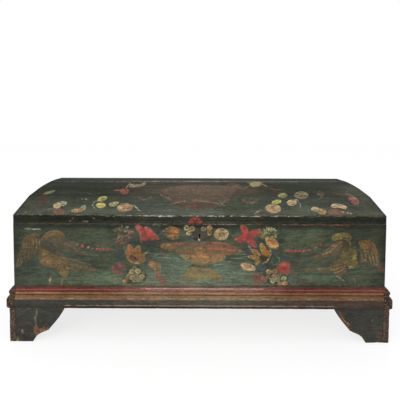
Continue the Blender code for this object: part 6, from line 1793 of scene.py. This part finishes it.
def painted_material(name, grain="X", roughness=0.55, specular=0.08, cover=(0.24, 0.21, 0.19),
                     amount=0.5, chips=0.0, dust=0.25, contrast=0.5, bare=(106, 82, 64), ends=None):
    """Ground colour pulled with a brush, three layers of brush work, and wear. Where there are ends,
    an axis and two tones, the faces along that axis show worn end grain."""
    material, tree, shader, place = new_material(name, roughness, specular)
    along = turned(tree, place, grain)
    pulls = use(tree, STREAKS, Place=along)
    colour = streaked(tree, attribute(tree, "ground", "Color"), pulls["Streak"], 1 - contrast, 1 + contrast)
    for layer, held in zip(LAYER_NAMES, cover):
        made = use(tree, LAYER, Under=colour, Paint=attribute(tree, layer + "_colour", "Color"),
                   Gap=attribute(tree, layer + "_gap"), Place=along, Cover=held, Body=0.92)
        colour = made["Colour"]
    colour = mix(tree, attribute(tree, "inner"), colour, inside_wood(tree, along))
    rub = attribute(tree, "rub")
    if ends:
        axis, light, dark = ends
        share = facing(tree, axis)
        grain_tone = use(tree, END_GRAIN, Place=place, Light=rgba(light), Dark=rgba(dark))["Colour"]
        colour = mix(tree, share, colour, grain_tone)
        rub = calc(tree, "MULTIPLY", rub, calc(tree, "SUBTRACT", 1.0, share))
    lowered = rubbed_finish(tree, shader, along, colour, rub, amount, chips, dust, bare)
    height = free_calc(tree, "ADD", free_calc(tree, "MULTIPLY_ADD", pulls["Hair"], 0.35, lowered),
                       free_calc(tree, "MULTIPLY", made["Mask"], 0.4))
    bump(tree, shader, height)
    return material


def band_paint(tree, height, middle, to_right):
    """One colour for each band by height, the highest partly painted shade, then brown varnish to the right
    and dust in the middle.
    """
    (_, first), *others = BANDS
    colour = rgba(first)
    for foot, pigment in others:
        colour = mix(tree, ramp(tree, height, foot - BAND_BLUR, foot + BAND_BLUR), colour, rgba(pigment))
    off_middle = calc(tree, "MULTIPLY", to_right, calc(tree, "SUBTRACT", 1.0, middle))
    browned = calc(tree, "MULTIPLY", off_middle, BROWNED)
    colour = mix(tree, browned, colour, rgba(BROWN_VARNISH))
    dusty = calc(tree, "MULTIPLY", middle, ramp(tree, height, 0.14, 0.20, DUST_LOW, DUST_HIGH))
    return mix(tree, dusty, colour, rgba(PALE_DUST))


def striped_material(name, rub_name=None, cut_ends=False):
    """The base's mouldings by height: bands of crimson, ochre and slate, one pigment each, dusty in
    the middle and browned towards the right, with worn lines along the bead, the arris and the foot;
    the lines on the slope and the arris are painted highlight as well, the highest band is partly
    painted shade, and under the rail between the feet lies a painted shadow."""
    material, tree, shader, place = new_material(name, 0.55, 0.08)
    split = add_node(tree, "SeparateXYZ", {0: place}).outputs
    waver = noise(tree, place, (26.0, 0.0, 0.0), 4.0, 0.7)
    height = free_calc(tree, "MULTIPLY_ADD", waver, 0.0044, free_calc(tree, "SUBTRACT", split[2], 0.0022))
    pulls = use(tree, STREAKS, Place=place)
    blotch = noise(tree, place, (14.0, 60.0, 60.0), 4.0, 0.7)
    reach = free_calc(tree, "ABSOLUTE", split[0])
    blotchy = free_calc(tree, "MULTIPLY_ADD", blotch, 0.3, free_calc(tree, "SUBTRACT", reach, 0.15))
    middle = ramp(tree, blotchy, 0.42, 0.12)
    to_right = ramp(tree, split[0], -0.2, 0.2)
    between = ramp(tree, reach, 0.512, 0.496)
    colour = band_paint(tree, height, middle, to_right)
    # Under the lowest band: near-black between the feet, a painted shadow under the rail where no foot
    # stands; slate over the feet
    under = mix(tree, between, rgba((60, 59, 53)), rgba((36, 33, 29)))
    lowest = BANDS[0][0]
    colour = mix(tree, ramp(tree, height, lowest - BAND_BLUR, lowest + BAND_BLUR), under, colour)
    colour = streaked(tree, colour, pulls["Streak"], 0.62, 1.4)
    breaks = noise(tree, place, (30.0, 200.0, 200.0), 5.0, 0.8)
    for level, half, tone, ends, start in WORN_AND_HIGHLIGHT_LINES:
        off = free_calc(tree, "ABSOLUTE", free_calc(tree, "SUBTRACT", height, level))
        near = ramp(tree, off, half, 0.3 * half)
        held = ramp(tree, free_calc(tree, "MULTIPLY_ADD", middle, 1 - ends, breaks), start, start + 0.14)
        share = calc(tree, "MULTIPLY", near, held)
        if level < 0.15:
            share = calc(tree, "MULTIPLY", share, between)
        colour = mix(tree, share, colour, rgba(tone))
    rust = ramp(tree, noise(tree, place, (22.0, 130.0, 130.0), 4.0, 0.75), 0.52, 0.66, 0.0, 0.45)
    colour = mix(tree, rust, colour, mix(tree, 1.0, colour, (1.15, 0.66, 0.62, 1.0), "MULTIPLY"))
    stains = ramp(tree, noise(tree, place, (48.0, 260.0, 260.0), 5.0, 0.8), 0.54, 0.66, 0.0, 0.6)
    colour = mix(tree, stains, colour, mix(tree, 1.0, colour, (0.45, 0.42, 0.4, 1.0), "MULTIPLY"))
    if cut_ends:
        grain_tone = use(tree, END_GRAIN, Place=place, Light=rgba((98, 78, 64)), Dark=rgba((42, 37, 33)))
        colour = mix(tree, facing(tree, 1), colour, grain_tone["Colour"])
    rub = attribute(tree, rub_name) if rub_name else 0.0
    low = rubbed_finish(tree, shader, place, colour, rub, 0.5, 0.02, 0.3, bare=(128, 100, 76))
    bump(tree, shader, free_calc(tree, "MULTIPLY_ADD", pulls["Hair"], 0.35, low))
    return material


def outside_painted_material(name, axis, edge, ground, grain="Y", held=None):
    """A board that is painted on its outer face and bare inside, told apart by its place. Where held
    is given, the paint keeps on only where noise is below it."""
    material, tree, shader, place = new_material(name, 0.6, 0.08)
    split = add_node(tree, "SeparateXYZ", {0: place}).outputs
    reach = free_calc(tree, "ABSOLUTE", split[axis])
    outer = ramp(tree, reach, edge - 0.0008, edge)
    along = turned(tree, place, grain)
    if held:
        spots = noise(tree, place, (46.0, 46.0, 70.0), 5.0, 0.75)
        outer = calc(tree, "MULTIPLY", outer, ramp(tree, spots, held + 0.1, held - 0.04, 0.62, 1.0))
    pulls = use(tree, STREAKS, Place=along)
    paint = streaked(tree, rgba(ground), pulls["Streak"], 0.6, 1.5)
    colour = mix(tree, outer, inside_wood(tree, along), paint)
    low = rubbed_finish(tree, shader, along, colour, 0.0, 0.0, 0.03, 0.25)
    bump(tree, shader, free_calc(tree, "MULTIPLY_ADD", pulls["Hair"], 0.35, low))
    return material


def bare_material(name, grain):
    """Old unpainted wood under a little grime, its grain along one axis."""
    material, tree, shader, place = new_material(name, 0.65, 0.25)
    along = turned(tree, place, grain)
    wood = use(tree, WOOD, Place=along, Light=rgba((158, 124, 88)), Dark=rgba((112, 84, 58)),
               Dirt=rgba((70, 54, 40)))
    final = use(tree, GRIME, Colour=wood["Colour"], Place=along, Dust=0.1)["Colour"]
    tree.links.new(final, shader.inputs["Base Color"])
    bump(tree, shader, wood["Relief"], 0.35)
    return material


def iron_material(name):
    """Hand-forged iron, dark, with soft rust in patches."""
    material, tree, shader, place = new_material(name, 0.55, 0.5)
    rust = ramp(tree, noise(tree, place, (60.0, 60.0, 60.0), 5.0, 0.7), 0.48, 0.66)
    pits = noise(tree, place, (420.0, 420.0, 420.0), 4.0, 0.6)
    iron = mix(tree, pits, rgba((34, 34, 36)), rgba((66, 64, 62)))
    tree.links.new(mix(tree, rust, iron, rgba((98, 62, 42))), shader.inputs["Base Color"])
    tree.links.new(ramp(tree, rust, 0.0, 1.0, 0.75, 0.1), shader.inputs["Metallic"])
    tree.links.new(ramp(tree, rust, 0.0, 1.0, 0.45, 0.8), shader.inputs["Roughness"])
    bump(tree, shader, pits, 0.4, 0.0004)
    return material


# The lid's arch

def lid_arch():
    """Break points of the lid's outside from front to back, as Y and Z."""
    half = (BACK - FRONT) / 2
    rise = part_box("lid_stave_crown")[1].z - LID_TOP_EDGE
    front = [(FRONT, LID_TOP_EDGE)] + [(FRONT + reach * half, LID_TOP_EDGE + share * rise)
                                       for reach, share in STAVE_BREAKS]
    return front + [(FRONT + BACK - y, z) for y, z in reversed(front)]


def lid_inside(arch):
    """Break points of the staves' undersides: the arch's lines moved inwards by the thickness."""
    lines = []
    for (y_a, z_a), (y_b, z_b) in zip(arch, arch[1:]):
        slope = (z_b - z_a) / (y_b - y_a)
        lines.append((slope, z_a - slope * y_a - STAVE * math.hypot(1, slope)))
    points = [(FRONT, lines[0][0] * FRONT + lines[0][1])]
    for (slope_a, base_a), (slope_b, base_b) in zip(lines, lines[1:]):
        y = (base_b - base_a) / (slope_a - slope_b)
        points.append((y, slope_a * y + base_a))
    return points + [(BACK, lines[-1][0] * BACK + lines[-1][1])]


def make_lid(material, rail_material):
    """Five staves, the front ones painted with flowers, and the dark rail under the front one."""
    arch = lid_arch()
    inside = lid_inside(arch)
    half_gap = 0.15 * MM
    for number, name in enumerate(("front", "front_upper", "crown", "rear_upper", "rear")):
        (y_a, z_a), (y_b, z_b) = arch[number:number + 2]
        (v_a, w_a), (v_b, w_b) = inside[number:number + 2]
        low, high = (half_gap if number else 0), (half_gap if number < 4 else 0)
        crown = []
        if name == "crown":
            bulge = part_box("lid_stave_crown")[1].z - z_a
            crown = [(y_a + (y_b - y_a) * t, z_a + 4 * bulge * t * (1 - t))
                     for t in np.linspace(0, 1, 17)[1:-1]]
        corners = [(v_a + low, w_a), (y_a + low, z_a)] + crown + [(y_b - high, z_b), (v_b - high, w_b)]
        grid = BRUSH_GRID if number < 3 else PLAIN_GRID
        spacing, last = [PLAIN_GRID] * len(corners), len(corners) - 2
        painted = {(1, last): paint_lid} if number < 3 else {}
        spacing[1:last] = [grid] * (last - 1)
        if name == "front":
            spacing[0] = BRUSH_GRID
            painted[0, 1] = paint_lid_rail
        sweep("lid_stave_" + name, corners, spacing, painted, grid, LID_GROUND, "lid",
              material, seed=20 + number, soft=range(2, 2 + len(crown)),
              worn={"front": (1,), "rear": (2,)}.get(name, ()), inner=(len(corners) - 1,))
    low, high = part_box("lid_front_rail")
    slope = (inside[1][1] - inside[0][1]) / (inside[1][0] - inside[0][0])
    front_top = high.z - slope * (high.y - low.y)
    sweep("lid_front_rail",
          [(low.y, low.z), (low.y, front_top), (high.y, high.z), (high.y, low.z)],
          [BRUSH_GRID, PLAIN_GRID, PLAIN_GRID, PLAIN_GRID], {(0, 1): paint_lid_rail}, BRUSH_GRID,
          DARK_GROUND, "lid", rail_material, seed=31, worn=(0,), inner=(2, 3))


def make_base(striped):
    """The front's upper moulding and the rail under it, from their profiles."""
    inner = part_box("front_base_moulding")[1].y
    moulding = [(reach, MOULDING_FOOT + rise * (BASE_TOP - MOULDING_FOOT)) for reach, rise in MOULDING]
    rail = [(reach, RAIL_TOP - drop) for reach, drop in reversed(RAIL)]
    grid, ease = 3 * MM, 0.8 * MM
    for node, profile, foot, top, ground, wear, seed in (
            ("front_base_moulding", moulding, MOULDING_FOOT, BASE_TOP, OCHRE, 0.6 * MM, 41),
            ("front_base_rail", rail, RAIL_FOOT, RAIL_TOP, RAIL_GROUND, 0.8 * MM, 43)):
        corners = [(inner, foot)] + [(FRONT - reach, z) for reach, z in profile] + [(inner, top)]
        sweep(node, corners, [grid] * len(corners), {}, grid, ground, "chest", striped,
              half_width=BASE_INSIDE, ease=ease, wear=wear, seed=seed, soft=range(2, len(corners) - 2))


def finish_nodes(frame_nodes, finishes):
    """Give every carried-over node its finish, by the ends of its name."""
    for name, node in frame_nodes.items():
        for ends, material, slot in finishes:
            if name.endswith(ends):
                node.data.materials.clear()
                node.data.materials.append(material)
                break
        else:
            raise ValueError("no finish for " + name)


# Stage

def make_stage():
    """A pale floor that glows a little for the camera, soft lamps, and a white background."""
    mesh = bpy.data.meshes.new("floor")
    reach = 6.0
    mesh.from_pydata([(-reach, -reach, -0.0005), (reach, -reach, -0.0005), (reach, reach, -0.0005),
                      (-reach, reach, -0.0005)], [], [(0, 1, 2, 3)])
    floor = new_object("floor", mesh)
    floor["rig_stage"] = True
    material, tree, shader, _ = new_material("floor", 0.9, 0.0)
    seen = add_node(tree, "LightPath").outputs["Is Camera Ray"]
    tone = mix(tree, seen, (FLOOR_TONE,) * 3 + (1.0,), (FLOOR_SHADE,) * 3 + (1.0,))
    tree.links.new(tone, shader.inputs["Base Color"])
    shader.inputs["Emission Color"].default_value = (1.0, 1.0, 1.0, 1.0)
    tree.links.new(free_calc(tree, "MULTIPLY", seen, FLOOR_GLOW), shader.inputs["Emission Strength"])
    mesh.materials.append(material)

    world = bpy.data.worlds.new("studio")
    bpy.context.scene.world = world
    world.use_nodes = True
    tree = world.node_tree
    paths = add_node(tree, "LightPath").outputs
    seen = calc(tree, "MAXIMUM", calc(tree, "MAXIMUM", paths["Is Camera Ray"], paths["Is Glossy Ray"]),
                paths["Is Transmission Ray"])
    strength = free_calc(tree, "MULTIPLY_ADD", seen, 1.0 - SKY, SKY)
    tree.nodes["Background"].inputs["Color"].default_value = (1.0, 1.0, 1.0, 1.0)
    tree.links.new(strength, tree.nodes["Background"].inputs["Strength"])

    for name, place, aim, size, power in LAMPS:
        lamp = bpy.data.lights.new(name, "AREA")
        lamp.shape, lamp.size, lamp.energy = "SQUARE", size, power
        way = np.subtract(place, aim)
        away = way / np.linalg.norm(way)
        side = np.cross((0, 0, 1), away)
        side /= np.linalg.norm(side)
        stand(new_object(name, lamp), side, np.cross(away, side), away, place)


def build():
    make_camera()
    make_stage()
    front_paint = painted_material("painted front", chips=0.03)
    # The lid's pale bare tone shows where its front arris is rubbed, and stands partly for a painted
    # highlight along it
    lid_paint = painted_material("painted lid", roughness=0.6, specular=0.02, cover=(0.22, 0.19, 0.18),
                                 chips=0.05, dust=0.4, contrast=0.4, bare=(150, 148, 130),
                                 ends=(0, (66, 62, 50), (40, 43, 36)))
    rail_paint = painted_material("dark rail paint", roughness=0.45, chips=0.04, dust=0.4)
    foot_paint = painted_material("foot paint", grain="X", amount=0.6, chips=0.05, dust=0.3, contrast=0.35)
    side_foot_paint = painted_material("side foot paint", grain="Y", amount=0.6, chips=0.05, dust=0.3,
                                       contrast=0.35, ends=(1, (104, 84, 68), (58, 50, 44)))
    striped = striped_material("striped base", "rub")
    side_striped = striped_material("striped sides", cut_ends=True)
    end_board = outside_painted_material("painted end boards", 0, HALF_WIDTH, END_GROUND)
    rear_paint = outside_painted_material("painted rear rail", 1, BACK, END_GROUND, "X")
    cross_board = outside_painted_material("boards with painted ends", 0, HALF_WIDTH, END_GROUND,
                                           "X", 0.5)
    along_x, along_y, along_z = (bare_material("bare wood along " + axis.lower(), axis) for axis in "XYZ")
    iron = iron_material("forged iron")

    make_front(front_paint)
    make_lid(lid_paint, rail_paint)
    make_base(striped)
    make_foot("front_left_foot", foot_paint, 51, LEFT_FOOT, FRONT_FOOT_WEAR)
    make_foot("front_right_foot", foot_paint, 60, RIGHT_FOOT, FRONT_FOOT_WEAR)
    for number, node in enumerate(("front_side_left_foot", "front_side_right_foot", "rear_side_left_foot",
                                   "rear_side_right_foot"), 1):
        make_foot(node, side_foot_paint, 60 + 3 * number)

    replaced = [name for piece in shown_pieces() for name in piece.get("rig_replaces", [])]
    kept = {name: node for name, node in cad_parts.items() if name not in replaced}
    finish_nodes(kept, (
        (("hinge_body_leaf", "hinge_lid_strap", "hinge_pin", "lid_staple", "lock_bolt", "lock_plate",
          "lock_spring"), iron, "iron"),
        (("left_end_board", "right_end_board"), end_board, "chest_paint"),
        (("lid_left_end", "lid_right_end"), end_board, "lid_paint"),
        (("base_moulding", "side_base_rail", "left_base_rail", "right_base_rail"), side_striped,
         "stripe_paint"),
        (("lid_rear_rail",), rear_paint, "lid_paint"),
        (("front_board", "back_board"), cross_board, "bare_wood"),
        (("batten",), along_y, "bare_wood"),
        (("corner_block",), along_z, "bare_wood"),
        (("board", "board_1", "board_2", "board_3", "rail", "brace"), along_x, "bare_wood")))


build()
